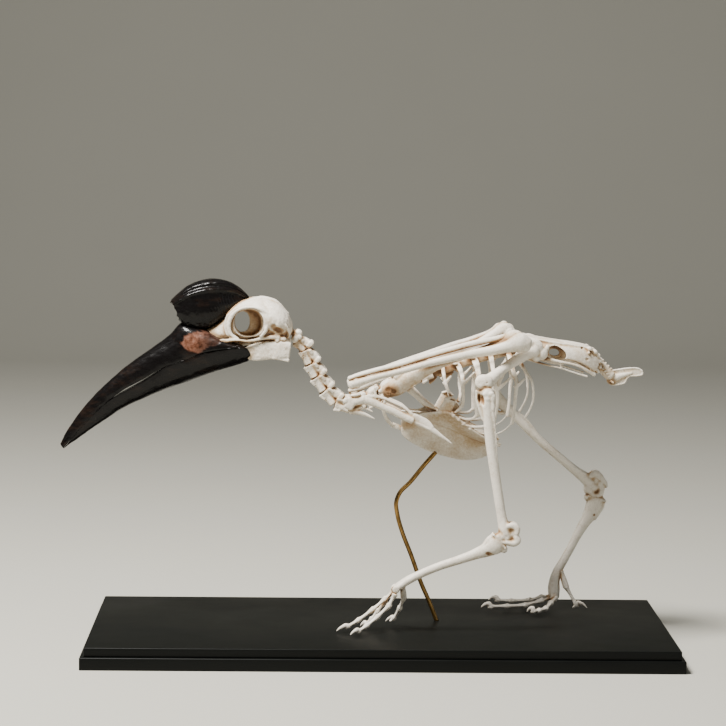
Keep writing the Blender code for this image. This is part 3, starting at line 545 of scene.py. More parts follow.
def maths(tree, operation, first, second, clamp=False):
    """One sum of two values, each a link or a number."""
    made = node(tree, "ShaderNodeMath", {0: first, 1: second}, operation=operation, use_clamp=clamp)
    return made.outputs[0]


def spread(tree, value, middle, gain):
    """A value less its middle, times a gain, so that it adds as much as it takes away."""
    return maths(tree, "MULTIPLY", maths(tree, "SUBTRACT", value, middle), gain)


def noise(tree, place, scale, detail=4.0, roughness=0.55):
    """Noise from 0 to 1 at a place."""
    inputs = {"Vector": place, "Scale": scale, "Detail": detail, "Roughness": roughness}
    return node(tree, "ShaderNodeTexNoise", inputs).outputs["Fac"]


def object_place(tree, turn=(0.0, 0.0, 0.0), scale=(1.0, 1.0, 1.0)):
    """The place in metres, turned and stretched."""
    source = node(tree, "ShaderNodeTexCoord").outputs["Object"]
    inputs = {"Vector": source, "Rotation": turn, "Scale": scale}
    return node(tree, "ShaderNodeMapping", inputs).outputs["Vector"]


def attribute(tree, name):
    """The value that write_attribute kept under this name."""
    return node(tree, "ShaderNodeAttribute", attribute_name=name).outputs["Fac"]


def bump(tree, height, depth, strength=1.0):
    """The shading of a height from 0 to 1 that stands for a depth in metres."""
    inputs = {"Height": height, "Distance": depth, "Strength": strength}
    return node(tree, "ShaderNodeBump", inputs).outputs["Normal"]


def material(name, finish):
    """The material of this name, given its finish the first time that it is asked for."""
    made = bpy.data.materials.get(name)
    if made is None:
        made = bpy.data.materials.new(name)
        made.use_nodes = True
        finish(made.node_tree, made.node_tree.nodes["Principled BSDF"])
    return made


def bone_material(tree, shader):
    """Bleached bone: ivory in the open, painted tan to amber shade where it is hollow, crowded or faces
    down, amber where stained, with fine pores.
    """
    bone = settings("bone")
    place = object_place(tree)
    blotches = noise(tree, place, scale=62.0, detail=5.0, roughness=0.6)
    flecks = noise(tree, place, scale=420.0, detail=4.0, roughness=0.6)
    pores = noise(tree, place, scale=2200.0, detail=2.0)
    # Painted shade from the hollows, plus the stains and painted shade in the stain attribute, plus random
    # blotches and flecks
    shade_and_stain_amount = maths(tree, "MULTIPLY", attribute(tree, "hollow"), 0.55)
    shade_and_stain_amount = maths(tree, "MAXIMUM", shade_and_stain_amount, 0.0)
    shade_and_stain_amount = maths(tree, "ADD", shade_and_stain_amount, attribute(tree, "stain"))
    shade_and_stain_amount = maths(tree, "ADD", shade_and_stain_amount, spread(tree, blotches, middle=0.47, gain=0.65))
    shade_and_stain_amount = maths(tree, "ADD", shade_and_stain_amount, spread(tree, flecks, middle=0.46, gain=0.60), clamp=True)
    open_bone = np.array(bone.colour)
    deep_stain_and_shade = np.array(bone.stain)
    # The tan and the deep colour serve both for stains and for painted shade
    tan = 0.5 * open_bone * np.array((1.0, 0.88, 0.68)) + 0.32 * deep_stain_and_shade
    steps = [(0.0, open_bone), (0.10, 0.88 * open_bone + 0.08 * tan), (0.24, 0.55 * open_bone + 0.40 * tan)]
    steps += [(0.45, tan), (0.72, 0.3 * tan + 0.65 * deep_stain_and_shade), (1.0, 0.55 * deep_stain_and_shade)]
    colour = ramp(tree, shade_and_stain_amount, steps)
    tree.links.new(colour, shader.inputs["Base Color"])
    dull = ramp(tree, blotches, [(0.3, grey(0.42)), (0.75, grey(0.64))])
    tree.links.new(dull, shader.inputs["Roughness"])
    height = maths(tree, "ADD", maths(tree, "MULTIPLY", flecks, 0.7), maths(tree, "MULTIPLY", pores, 0.3))
    tree.links.new(bump(tree, height, depth=0.0005, strength=0.6), shader.inputs["Normal"])
    shader.inputs["Specular IOR Level"].default_value = 0.40


def horn_material(tree, shader):
    """Polished black horn: brown streaks and flecks along the bill, scuffs, and the rust patch."""
    horn = settings("horn")
    streaked = object_place(tree, (0.0, BILL_SLANT, 0.0), (0.22, 1.0, 1.0))
    place = object_place(tree)
    streaks = noise(tree, streaked, scale=330.0, detail=5.0, roughness=0.6)
    flecks = noise(tree, streaked, scale=140.0, detail=6.0, roughness=0.7)
    patches = noise(tree, place, scale=30.0, detail=3.0)
    amount = maths(tree, "MULTIPLY", flecks, maths(tree, "ADD", patches, 0.25))
    amount = ramp(tree, amount, [(0.38, grey(0.0)), (0.62, grey(1.0))])
    dark = mixed(tree, amount, tuple(horn.colour), tuple(horn.mottle))
    rust = attribute(tree, "patch")
    paler = tuple(1.7 * part + 0.035 for part in horn.patch)
    darker = tuple(0.22 * part for part in horn.patch)
    blotches = noise(tree, place, scale=230.0, detail=5.0, roughness=0.65)
    rust_colour = ramp(tree, blotches, [(0.30, darker), (0.44, tuple(horn.patch)), (0.62, paler)])
    tree.links.new(mixed(tree, rust, dark, rust_colour), shader.inputs["Base Color"])
    dull = ramp(tree, streaks, [(0.35, grey(0.20)), (0.70, grey(0.42))])
    dull = mixed(tree, rust, dull, grey(0.62))
    tree.links.new(dull, shader.inputs["Roughness"])
    height = maths(tree, "ADD", maths(tree, "MULTIPLY", streaks, 0.6), maths(tree, "MULTIPLY", flecks, 0.5))
    tree.links.new(bump(tree, height, depth=0.0009, strength=0.5), shader.inputs["Normal"])
    shader.inputs["Specular IOR Level"].default_value = 0.12
    shader.inputs["Coat Weight"].default_value = 0.16
    shader.inputs["Coat Roughness"].default_value = 0.10


def paint_material(tree, shader):
    """Satin black paint on smooth wood, with faint dust and a slow unevenness."""
    mount = settings("mount")
    place = object_place(tree)
    slow = noise(tree, place, scale=9.0, detail=3.0)
    dust = noise(tree, place, scale=900.0, detail=2.0)
    paler = tuple(1.9 * part + 0.0024 for part in mount.paint)
    amount = maths(tree, "MULTIPLY", slow, ramp(tree, dust, [(0.45, grey(0.2)), (0.72, grey(1.0))]))
    tree.links.new(mixed(tree, amount, tuple(mount.paint), paler), shader.inputs["Base Color"])
    dull = ramp(tree, slow, [(0.3, grey(0.36)), (0.7, grey(0.46))])
    tree.links.new(dull, shader.inputs["Roughness"])
    tree.links.new(bump(tree, dust, depth=0.00012, strength=0.35), shader.inputs["Normal"])
    shader.inputs["Specular IOR Level"].default_value = 0.13


def brass_material(tree, shader):
    """Aged brass: yellow where rubbed, brown where dull, with a fine grain."""
    mount = settings("mount")
    place = object_place(tree)
    patina = noise(tree, place, scale=130.0, detail=4.0)
    fine = noise(tree, place, scale=1500.0, detail=2.0)
    browner = tuple(0.45 * part for part in mount.brass)
    amount = ramp(tree, patina, [(0.40, grey(0.0)), (0.75, grey(0.8))])
    tree.links.new(mixed(tree, amount, tuple(mount.brass), browner), shader.inputs["Base Color"])
    dull = ramp(tree, patina, [(0.3, grey(0.24)), (0.7, grey(0.42))])
    tree.links.new(dull, shader.inputs["Roughness"])
    tree.links.new(bump(tree, fine, depth=0.0001, strength=0.3), shader.inputs["Normal"])
    shader.inputs["Metallic"].default_value = 1.0


def floor_material(tree, shader):
    """A plain pale floor, very slightly uneven."""
    colour = tuple(settings("stage").floor)
    shade = tuple(0.96 * part for part in colour)
    slow = noise(tree, object_place(tree), scale=3.0, detail=2.0)
    tree.links.new(mixed(tree, slow, colour, shade), shader.inputs["Base Color"])
    shader.inputs["Roughness"].default_value = 0.75


# The head

BRAINCASE = [
    (-201, 333, -198, 313, 10), (-188, 340, -185, 314, 15), (-176, 350, -173, 316, 17),
    (-163, 361, -161, 320, 19), (-150, 368.5, -149, 323, 23), (-139, 369.5, -137, 324, 28.5),
    (-127, 367, -125, 323, 32), (-116, 361, -114, 322, 30), (-108, 352, -107, 325, 23),
    (-103, 341, -102.5, 329, 11),
]
BROW = [
    (-164, 21.5, 323.8, 1.5, 1.7), (-171.5, 21, 328.4, 1.7, 2.2), (-174.6, 20.4, 338, 1.9, 2.6),
    (-171.6, 20, 348.6, 1.8, 2.4), (-163, 21.4, 356.8, 2.0, 1.8), (-151, 23.8, 360, 2.0, 1.6),
    (-139, 26.4, 357.6, 2.0, 1.5), (-132.4, 28, 350, 1.8, 1.6), (-130.6, 28.8, 341, 1.8, 2.0),
    (-133.4, 28.6, 332.5, 1.8, 2.2), (-138, 28, 327, 1.2, 1.6),
]
FRONT_RIM = [(-166, 20, 322.6, 1.2, 1.2), (-174.5, 19.6, 327, 1.2, 1.3), (-178.6, 18.8, 337, 1.3, 1.3),
             (-176, 18, 349, 1.3, 1.3), (-166, 17.4, 358.6, 1.4, 1.3)]
ROOF = [(-176, 9, 350, 7, 2.4), (-166, 12, 358.5, 9, 2.6), (-152, 14, 363.6, 11, 2.8),
        (-139, 16, 363.2, 12.5, 3.2), (-130, 18.5, 357, 12, 3.4), (-124, 20, 349, 11, 3.4)]
CHEEK = [
    (-184, 19, 320, 1.6, 3.2), (-172, 21.5, 322.2, 1.5, 2.0), (-163, 23.5, 322.6, 1.4, 1.6),
    (-154, 24.5, 321.6, 1.4, 1.5), (-145, 25.5, 323, 1.4, 1.6), (-136, 26, 325.2, 1.7, 2.0),
    (-126, 26, 326.5, 2.4, 2.8), (-118, 25.5, 326, 3.0, 3.4),
]
SEPTUM_STRUT = [(-147, 8, 352, 1.5, 1.8), (-144.4, 9.5, 345, 1.1, 1.2), (-144.8, 9, 338, 1.1, 1.2),
                (-150, 7, 331.5, 1.3, 1.4)]
UPPER_BILL = [
    (-366, 200, -362.4, 195, 2.4), (-359.5, 213, -353.5, 205.4, 3.9), (-347, 232, -338, 224, 5.4),
    (-332, 251, -320, 242, 7.5), (-310, 273, -297, 261, 10.5), (-287, 293, -271, 276, 14),
    (-264, 309.5, -246, 290.5, 17), (-242, 326, -221, 299, 20), (-228, 340, -206, 306, 22.5),
    (-213, 337, -193, 309.5, 24), (-203, 334, -184, 311, 24.5), (-192, 329, -174, 312.5, 25),
    (-181, 322.5, -168, 313.5, 25.3), (-163, 317, -162, 314.5, 25.5),
]
LOWER_BILL = [
    (-364.6, 199.6, -361.8, 194.8, 2.2), (-359.6, 207.6, -355, 200.2, 3.3), (-351, 216.2, -346.4, 206, 4.4),
    (-338, 229, -331, 217.5, 5.8), (-319, 245.2, -310, 231.6, 8), (-306, 253.8, -298, 239.6, 9.6),
    (-296, 259.8, -286, 246.4, 11), (-283, 267.2, -272, 252.6, 12.8), (-270, 275, -258, 259, 14.5),
    (-256, 284, -246, 263.8, 16), (-245, 292, -234, 268, 17.5), (-220, 301, -212, 276, 20.5),
    (-207, 307, -201, 280, 22), (-196, 310.5, -190, 283.5, 23), (-173, 315, -168, 289.5, 24.5),
    (-160, 316.6, -156, 293.4, 25.4), (-153.4, 313, -151.6, 296, 25.2), (-150, 308.4, -149.6, 300.6, 24.2),
]
CASQUE = [
    (-152, 370.5, -154, 366, 4), (-160, 378, -163, 359, 9), (-172, 386, -176, 348, 13),
    (-184, 389.5, -188, 339, 16), (-198, 390, -202, 332, 17.5), (-211, 387, -212, 332, 18),
    (-224, 380.5, -220, 334, 17.5), (-234, 372, -227, 338, 16), (-242.5, 364, -232, 343, 13),
]
CASQUE_HOLLOW = [
    (-251, 361, -238, 339, 10), (-242, 366, -233, 341, 12.4), (-234, 368, -227, 344, 12.5),
    (-225, 374, -221, 344, 13.5), (-214, 379, -212, 344, 13.5), (-204, 377, -205, 350, 9),
]
FRONT_BITES = [(-240, -11, 359, 3.4), (-237, -13, 351.5, 4.2), (-233.5, -12, 345, 3.2), (-240, 10, 357, 3.6),
               (-236, 13, 349, 3.8), (-245, 0, 362, 3.4)]
RUST_PATCH = [(-228, 318), (-225, 325), (-214, 330), (-200, 333), (-180, 324.6), (-184, 318), (-198, 314),
              (-206, 308), (-220, 307.6)]


MANDIBLE = [
    (-157, 19.5, 308, 1.6, 5), (-148, 20.5, 308.4, 2, 9), (-137, 22.5, 310, 2.2, 10),
    (-125, 24, 311.8, 2.8, 10.6), (-114, 25, 311.5, 4, 10.8), (-106, 24.5, 310.4, 4, 10.4),
]
MANDIBLE_EDGES = [
    ([(-128, 21, 319, 2, 2), (-121, 22, 320.4, 4, 1.8), (-113, 21, 319, 3, 2)], (0, 1, 0)),
    ([(-118, 20, 316, 2.4, 3), (-117, 15, 316.5, 1.4, 1.8)], (1, 0, 0)),
    ([(-124, 26, 303, 1, 1.2), (-115, 26.6, 301.6, 1.2, 1.6), (-107, 27, 300.4, 1.6, 2)], (0, 1, 0)),
]


def skull_grids():
    """The braincase, the rims of the eye sockets, the cheek bars, the jaw hinges and the ear rims."""
    grids = [bodied(BRAINCASE, level=0.5, power=2.15, around=64)]
    grids.append(carried([(-180, 0, 316, 9, 4), (-150, 0, 318.5, 6, 3.6), (-120, 0, 323, 12, 6)]))
    grids.append(ball((-102.5, 0, 330.5), (3.6, 4.2, 3.6)))
    grids.append(carried([(-150, 0, 367.4, 5, 1.6), (-138, 0, 369.4, 7, 1.6), (-122, 0, 365.4, 6, 1.5),
                          (-108, 0, 351, 3, 1.4)]))
    for way in (LEFT, RIGHT):
        grids.append(carried(mirrored(BROW, way)))
        grids.append(carried(mirrored(FRONT_RIM, way)))
        grids.append(carried(mirrored(ROOF, way), across=(0, 1, -0.45 * way)))
        grids.append(carried(mirrored(SEPTUM_STRUT, way)))
        grids.append(carried(mirrored(CHEEK, way)))
        quadrate = [(-123, 23, 338, 2.6, 3.6), (-121, 24.5, 330, 2.6, 3), (-119, 25, 322.5, 3.6, 3.6)]
        grids.append(carried(mirrored(quadrate, way)))
        grids.append(ball((-113, way * 24.6, 324), (4.2, 3.4, 3.4)))
        wing_bone = [(-120, 17, 323, 1.6, 2), (-134, 11, 319.5, 1.5, 2), (-148, 5, 317.5, 1.5, 2.4)]
        grids.append(carried(mirrored(wing_bone, way)))
        ear_rim = [(-119, 28, 345, 1.3, 1.6), (-111, 26, 340, 1.5, 1.8), (-106.5, 22.5, 332, 1.6, 2),
                   (-108, 19, 325.5, 1.8, 2)]
        grids.append(carried(mirrored(ear_rim, way)))
    return grids


EAR_HOLLOW = [(-115, 33, 332.4, (13, 8, 5)), (-124, 34.4, 337, (5, 6, 6))]


def skull_cutters():
    """The eye sockets and the window between them, the ear hollows and a few small openings."""
    cutters = []
    for way in (LEFT, RIGHT):
        socket = [(-152, 40, 341, 17.6, 17.2), (-152, 24, 341, 17.2, 17), (-152.5, 12, 341, 15.2, 15.4),
                  (-153, 2.0, 340.5, 14.2, 13.8)]
        cutters.append(carried(mirrored(socket, way), across=(1, 0, 0), power=2.2, around=40, dome=0.05))
        cutters.append(ball((-119, way * 37.4, 346), (12, 6.4, 8), tilt=-55))
        for x, out, z, radii in EAR_HOLLOW:
            cutters.append(ball((x, way * out, z), radii, tilt=25))
        cutters.append(ball((-187, way * 18.5, 338.5), (5.5, 3.6, 2.2), tilt=-46))
        cutters.append(ball((-105.5, way * 10, 336), (2, 1.6, 1.6)))
    window = [(-160, -20, 342.5, 8.6, 11.6), (-160, 20, 341, 8.6, 11.6)]
    cutters.append(carried(window, across=(1, 0, 0), power=2.3, around=36, dome=0.05))
    return cutters


# Painted shade under the eye sockets, at the palate, between the casque's base and the brow, behind the eye
# and at the ear, and amber inside the sockets
SKULL_SHADE_AND_AMBER = both_sides([
    (-150, 9, 341, 18, 0.42), (-149, 4, 343, 5, 0.4), (-128, 30, 343, 6, 0.26), (-116, 27, 332, 10, 0.30),
    (-180, 15, 356, 6, 0.4), (-128, 12, 321, 14, 0.4), (-152, 18, 318.6, 13, 0.5),
])


def polygon_depth(x, z, polygon):
    """How far inside a polygon each point lies: distance to the nearest edge, minus outside it.

    A point is inside where the edges that cross its height on its right are odd in number.
    """
    nearest = np.full(len(x), np.inf)
    inside = np.zeros(len(x), dtype=bool)
    for (x0, z0), (x1, z1) in zip(polygon, polygon[1:] + polygon[:1]):
        run = x1 - x0
        rise = z1 - z0
        share = np.clip(((x - x0) * run + (z - z0) * rise) / (run ** 2 + rise ** 2), 0, 1)
        nearest = np.minimum(nearest, np.hypot(x - x0 - share * run, z - z0 - share * rise))
        crosses = (z0 > z) != (z1 > z)
        reach = x0 + (z - z0) / (rise + 1e-12) * run
        inside ^= crosses & (x < reach)
    return np.where(inside, nearest, -nearest)


def horn_piece(name, mesh, relief):
    """Finishes horn: the relief moves each point along its normal, and the rust patch is marked.

    Only the sides of the upper bill have the patch. Its edge is ragged by a cloud and 1.2 mm soft,
    its surface lies 0.35 mm lower, and towards the rear it fades to 22 per cent.
    """
    places, _ = arrays(mesh)
    in_mm = in_millimetres(places)
    depth = polygon_depth(in_mm[:, 0], in_mm[:, 2], RUST_PATCH) + 1.6 * cloud(in_mm, 3.0, 7)
    patch = np.clip(depth / 1.2 + 0.5, 0.0, 1.0) * (np.abs(in_mm[:, 1]) > 6)
    if name != "upper_bill":
        patch = 0.0 * patch
    places += normals(mesh) * ((relief(in_mm) - 0.35 * patch) * MM)[:, None]
    put_places(mesh, places)
    fade = np.clip((in_mm[:, 0] + 196) / -16, 0.0, 1.0) * 0.78 + 0.22
    write_attribute(mesh, "patch", patch * fade)
    shown(name, mesh, material("black_horn", horn_material), (name,))


def bill_relief(in_mm):
    """Fine ridges along the bill: noise that changes fast across the bill's axis and slowly along it."""
    along = in_mm[:, 0] * np.cos(BILL_SLANT) + in_mm[:, 2] * np.sin(BILL_SLANT)
    across = in_mm[:, 2] * np.cos(BILL_SLANT) - in_mm[:, 0] * np.sin(BILL_SLANT)
    stretched = np.stack((along / 9.0, in_mm[:, 1], across), axis=1)
    return 0.14 * cloud(stretched, 1.6, 3) + 0.22 * cloud(in_mm, 7.0, 4)


def casque_relief(in_mm):
    """Noise, with upright folds on the rear of the side: a sine of x bent by a slow cloud."""
    rear = np.clip((in_mm[:, 0] + 204) / 18, 0.0, 1.0) * np.clip((378 - in_mm[:, 2]) / 10, 0.0, 1.0)
    folds = np.sin(2 * np.pi * (in_mm[:, 0] + 0.35 * in_mm[:, 2]) / 3.6 + 2.4 * cloud(in_mm, 6.0, 8))
    low = np.clip((346 - in_mm[:, 2]) / 8, 0.0, 1.0)
    fine = 0.26 * cloud(in_mm, 4.2, 5) + 0.10 * cloud(in_mm, 1.7, 6)
    return fine + 0.34 * rear * folds + 0.5 * low * cloud(in_mm, 3.4, 9)


def casque_grid():
    """The casque: a body whose wall swells to a shoulder ridge and dips to a furrow above it."""
    grid = bodied(CASQUE, level=0.45, power=2.6, around=200, steps=16)
    low = grid[..., 2].min(axis=1, keepdims=True)
    high = grid[..., 2].max(axis=1, keepdims=True)
    rise = (grid[..., 2] - low) / np.maximum(high - low, 1e-6)
    swell = 1.7 * np.exp(-((rise - 0.795) / 0.035) ** 2) - 1.3 * np.exp(-((rise - 0.865) / 0.030) ** 2)
    swell += 0.5 * np.exp(-((rise - 0.93) / 0.03) ** 2) - 1.3 * np.exp(-((rise - 0.62) / 0.14) ** 2)
    fade = np.clip(grid[..., 1] / 6.0, -1.0, 1.0)
    grid[..., 1] += fade * swell
    return grid


def upper_body(rows):
    """The upper bill's body: widest low down, with a flat underside."""
    return bodied(rows, level=0.03, power=2.1, around=128, steps=14)


# The neck

NECK_JOINTS = [
    (-104, 327), (-97.5, 321), (-88, 310.5), (-82, 294.5), (-75, 280), (-65.5, 264.5), (-53.5, 250),
    (-36.5, 245), (-18.5, 250.5), (-2.5, 259), (13.5, 267), (29, 275.5), (43, 281), (57, 286),
]
NECK_SIZES = (0.72, 0.92, 1.04, 1.08, 1.1, 1.1, 1.08, 1.04, 1.04, 1.06, 1.08, 1.08, 1.04)


def neck_bone(index):
    """One neck bone's grids, cutters and spots of painted shade, along the line between its two joints.

    A place is given as (share of the length, side, height), both of the last in bone sizes.
    """
    joints = np.array(NECK_JOINTS)
    front, back = joints[index], joints[index + 1]
    size = NECK_SIZES[index]
    length = np.linalg.norm(back - front)
    along = (back - front) / length
    dorsal = np.array([-along[1], along[0]])
    middle = 0.5 * (front + back)

    def spot(forward, side, up, *sizes):
        """A place on the bone, with sizes of its own."""
        x, z = middle + along * (forward * length) + dorsal * (up * size)
        return (x, side * size, z, *(size * value for value in sizes))

    # Painted shade low at the rear joint on both sides
    shade_and_stain_spots = [spot(0.5, 5 * way, -3) + (5, 0.2) for way in (LEFT, RIGHT)]
    if index == 0:
        return atlas_grids(), [], shade_and_stain_spots
    grids = [
        carried([spot(-0.455, 0, -2.4, 9.8, 5.2), spot(-0.1, 0, -2, 8.8, 4.8), spot(0.2, 0, -1.7, 8.8, 4.6),
                 spot(0.455, 0, -1.6, 9.4, 4.8)], power=3.4, around=36, dome=0.1),
        carried([spot(-0.44, 0, 1.8, 8.8, 4), spot(-0.1, 0, 5, 8.2, 5.4), spot(0.25, 0, 7.6, 8.2, 5.2),
                 spot(0.5, 0, 9.4, 7.4, 3.5)], power=3, around=36, dome=0.15),
    ]
    cutters = []
    for way in (LEFT, RIGHT):
        grids += [
            carried([spot(-0.40, 8.2 * way, 4.8, 1.8, 2.2), spot(-0.1, 7.8 * way, 5.6, 1.4, 1.8)],
                    around=14),
            carried([spot(-0.43, 8.4 * way, -6.6, 1.5, 1.8), spot(-0.1, 8.2 * way, -6, 1.1, 1.2)],
                    around=14),
            ball(spot(0.42, 6.6 * way, 8.6)[:3], (5, 2.8, 3), tilt=-50, power=3.2),
        ]
        seam = [spot(-0.2, 10.2 * way, 2.6, 1.6, 0.8), spot(0.1, 10 * way, 3, 1.7, 1),
                spot(0.5, 10 * way, 4.6, 1.8, 1.2)]
        cutters.append(carried(seam, around=14))
        cutters.append(ball(spot(0.1, 10.6 * way, -2.4)[:3], (0.22 * length, 2, 2.4 * size), tilt=-40))
    # Painted shade under the first neck bones, below the head
    if index < 3:
        shade_and_stain_spots.append(spot(-0.3, 0, -7) + (9, 0.6))
    return grids, cutters, shade_and_stain_spots


def atlas_grids():
    """The first neck bone: a lumpy ring close behind the skull."""
    grids = [ball((-98, 0, 325.4), (4.8, 9.6, 7.2), tilt=-30, power=2.4)]
    for way in (LEFT, RIGHT):
        grids.append(ball((-96, way * 6.4, 329.6), (4.6, 3.4, 3.6), tilt=20))
        grids.append(ball((-99.6, way * 8.6, 323), (4.2, 2.6, 4.6)))
        grids.append(ball((-95.4, way * 8, 325), (3.8, 2.6, 3.6)))
    return grids


# The chest

BACK_LINE = [(56, 285), (75, 291), (95, 298), (115, 304), (135, 309), (153, 313)]
RIB_BULGE = (26, 32, 37, 40, 41, 40)
RIB_WIDTH = (1.7, 2.1, 2.6, 2.0, 2.0, 1.4)
RIBS = [
    [(68, 292), (69, 286), (71, 276), (75, 265), (81, 250)],
    [(85, 296), (88, 290), (90, 279), (90, 269), (91, 258), (89, 250)],
    [(104, 302), (107, 292), (107, 275), (106, 258), (107, 240)],
    [(122, 307), (124, 294), (127, 275), (129, 258), (127, 241), (125, 231)],
    [(142, 311), (147, 290), (150, 279), (149, 264), (148, 247), (146, 232)],
    [(150, 312), (160, 292), (167, 281), (169, 270), (169, 259), (166, 249), (160, 238)],
]
LOWER_RIBS = [
    [],
    [(89, 251, 29), (86, 247, 30), (81, 243, 31)],
    [(107, 242, 33), (102, 237, 33), (94, 236, 33), (86, 238, 32)],
    [(125, 232, 36), (112, 228, 35), (100, 228, 34), (90, 231, 33)],
    [(146, 233, 37), (138, 225, 36), (124, 219, 35), (110, 221, 34), (97, 227, 33)],
    [],
]
RIB_SPURS = {0: [(71, 277), (77, 284)], 1: [(91, 277), (103, 289)], 3: [(128, 271), (144, 285)],
             4: [(150, 275), (159, 283)]}


def rib_side(index, z):
    """How far a rib stands out: quickly near the backbone, then an even curve down."""
    path = RIBS[index]
    fall = (path[0][1] - z) / (path[0][1] - path[-1][1])
    out = np.sin(min(1.0, 0.12 + fall * 1.7) * np.pi / 2)
    tuck = 1.0 - 0.14 * max(0.0, fall - 0.6) / 0.4
    return 4 + (RIB_BULGE[index] - 4) * out * tuck


def rib_grids(index, way):
    """One rib with its lower piece, and the spur that laps over the next rib."""
    width = RIB_WIDTH[index]
    top = RIBS[index][0]
    rows = [(top[0] - 1, 2, top[1] + 1, 0.8 * width, 1.7)]
    fall = np.linspace(0, 1, len(RIBS[index]))
    rows += [(x, rib_side(index, z), z, width * (1.4 - 0.6 * part), 1.1)
             for part, (x, z) in zip(fall, RIBS[index])]
    rows[-1] = (*rows[-1][:3], 1.15 * width, 1.6)
    grids = [carried(mirrored(rows, way), across=(1, 0, 0.2), around=16)]
    if LOWER_RIBS[index]:
        thick = 0.8 if index == 4 else 1.5
        rows = [(x, side, z, thick, 1.2 * thick) for x, z, side in LOWER_RIBS[index]]
        grids.append(carried(mirrored(rows, way), around=14))
    if index in RIB_SPURS:
        (x0, z0), (x1, z1) = RIB_SPURS[index]
        side = rib_side(index, z0)
        rows = [(x0 - 2, side, z0 - 2, 0.9, 2.8),
                (x0 + 0.4 * (x1 - x0), side, z0 + 0.35 * (z1 - z0), 0.9, 1.9), (x1, side - 1, z1, 0.8, 1.3)]
        grids.append(carried(mirrored(rows, way), around=14))
    return grids


def rib_cage_grids(way):
    """Half the backbone of the chest, with its arms and ridge, and the ribs of one side."""
    grids = [carried([(x, way * 2.6, z, 2.9, 5) for x, z in BACK_LINE], power=2.6)]
    crest = [(58, 288), (57, 296), (70, 301), (84, 306.5), (102, 312), (120, 317), (133, 320.5), (141, 321),
             (141, 311), (120, 305), (90, 296)]
    grids.append(plate(crest, way * 0.2, way * 1.3))
    for x, z in BACK_LINE[:-1]:
        arm = [(x + 6, 2, z + 3.6, 4.2, 2), (x + 6.5, 7, z + 5, 2.6, 1.4), (x + 7, 13.5, z + 6, 3, 1.3)]
        grids.append(carried(mirrored(arm, way), across=(1, 0, 0), around=16))
        disc = [(x + 9, 2.6, z + 1, 3.2, 5.6), (x + 11.5, 2.6, z + 1.6, 3.2, 5.6)]
        grids.append(carried(mirrored(disc, way), power=2.4))
        if x < 90:
            spine = [(x + 2, 0.9, z - 3, 1.1, 5), (x, 0.9, z - 8, 0.8, 3.4),
                     (x - 2, 0.8, z - 12.5, 0.6, 1.2)]
            grids.append(carried(mirrored(spine, way), around=16))
    for index in range(len(RIBS)):
        grids += rib_grids(index, way)
    return grids


STERNUM_MIDLINE = [(28, 232), (45, 230), (60, 226), (75, 221), (90, 216), (110, 209), (134, 203)]
STERNUM_RIM = [(28, 234, 8), (45, 241, 22), (60, 243, 29), (75, 243, 33), (90, 233, 34), (110, 219, 34),
               (134, 208, 31)]
KEEL_EDGE = [(22, 221), (24, 214), (31, 207.5), (42, 201), (58, 194), (73, 189.5), (90, 185.8), (106, 186.2),
             (119, 190), (128, 197), (133, 202.5)]


def keel_grid():
    """The keel, flaring into the bowl: half width = 0.9 + 20 * rise to the fourth, from 0 to 1 up.

    A ring also lifts by 10.5 * rise to the fifth, so that the flare lies in the bowl.
    """
    edge = through([(x, 0, z) for x, z in KEEL_EDGE], 8)
    low = edge[:, 2:3]
    high = np.interp(edge[:, 0], [x for x, _ in STERNUM_MIDLINE], [z for _, z in STERNUM_MIDLINE])
    rise = np.linspace(0, 1, 16)
    half = 0.9 + 20 * rise ** 4
    height = low + (high[:, None] - low) * rise + 10.5 * rise ** 5
    left = np.stack((edge[:, 0:1] + 0 * rise, 0 * low - half, height), axis=-1)
    right = left[:, ::-1] * np.array((1, -1, 1))
    return closed(np.concatenate((left, right), axis=1))


def sternum_grids():
    """The breastbone: a bowl whose height grows with the square of the side, its keel and their rims."""
    middle = through([(x, 0, low) for x, low in STERNUM_MIDLINE], 6)
    rim = through([(x, half, high) for x, high, half in STERNUM_RIM], 6)
    t = np.linspace(-1, 1, 41)
    height = middle[:, 2:3] + (rim[:, 2:3] - middle[:, 2:3]) * t ** 2
    top = np.stack((middle[:, 0:1] + 0 * t, rim[:, 1:2] * t, height), axis=-1)
    grids = [sheet(top, 1.5), keel_grid()]
    edge = [(x, 0, z + 0.8, 1.2, 1.1) for x, z in KEEL_EDGE]
    grids.append(carried(edge))
    for way in (LEFT, RIGHT):
        groove = [(26, 4, 232, 3, 2.6), (38, 13, 238, 3.2, 2.2), (50, 20, 242, 3, 2)]
        grids.append(carried(mirrored(groove, way), across=(0.4, 0.5, 0.2)))
        wing = [(68, 28.6, 240, 1.2, 8), (71, 30.5, 247, 1.1, 7.4), (74, 31.6, 253, 1.1, 7),
                (76, 32, 258, 1.1, 6.4)]
        grids.append(carried(mirrored(wing, way), around=18, power=2.6, dome=0.2))
        inner = [(86, 24, 243, 1.0, 5), (80, 26, 251, 1.0, 5)]
        shelf = [(70, 31.6, 259, 1.2, 1.4), (76, 30, 260.4, 2.4, 1.4), (82, 26, 257, 1.4, 1.4)]
        grids.append(carried(mirrored(shelf, way), around=16))
        grids.append(carried(mirrored(inner, way), around=16, power=2.6, dome=0.2))
        rim_rows = [(x, half - 0.6, high, 1.1, 1.1) for x, high, half in STERNUM_RIM[1:]]
        grids.append(carried(mirrored(rim_rows, way), around=16))
        for x, z in ((80, 240), (86, 235.5), (92, 231), (99, 226)):
            grids.append(ball((x, way * 33.6, z), (2.1, 1.7, 2.4), around=16))
    return grids


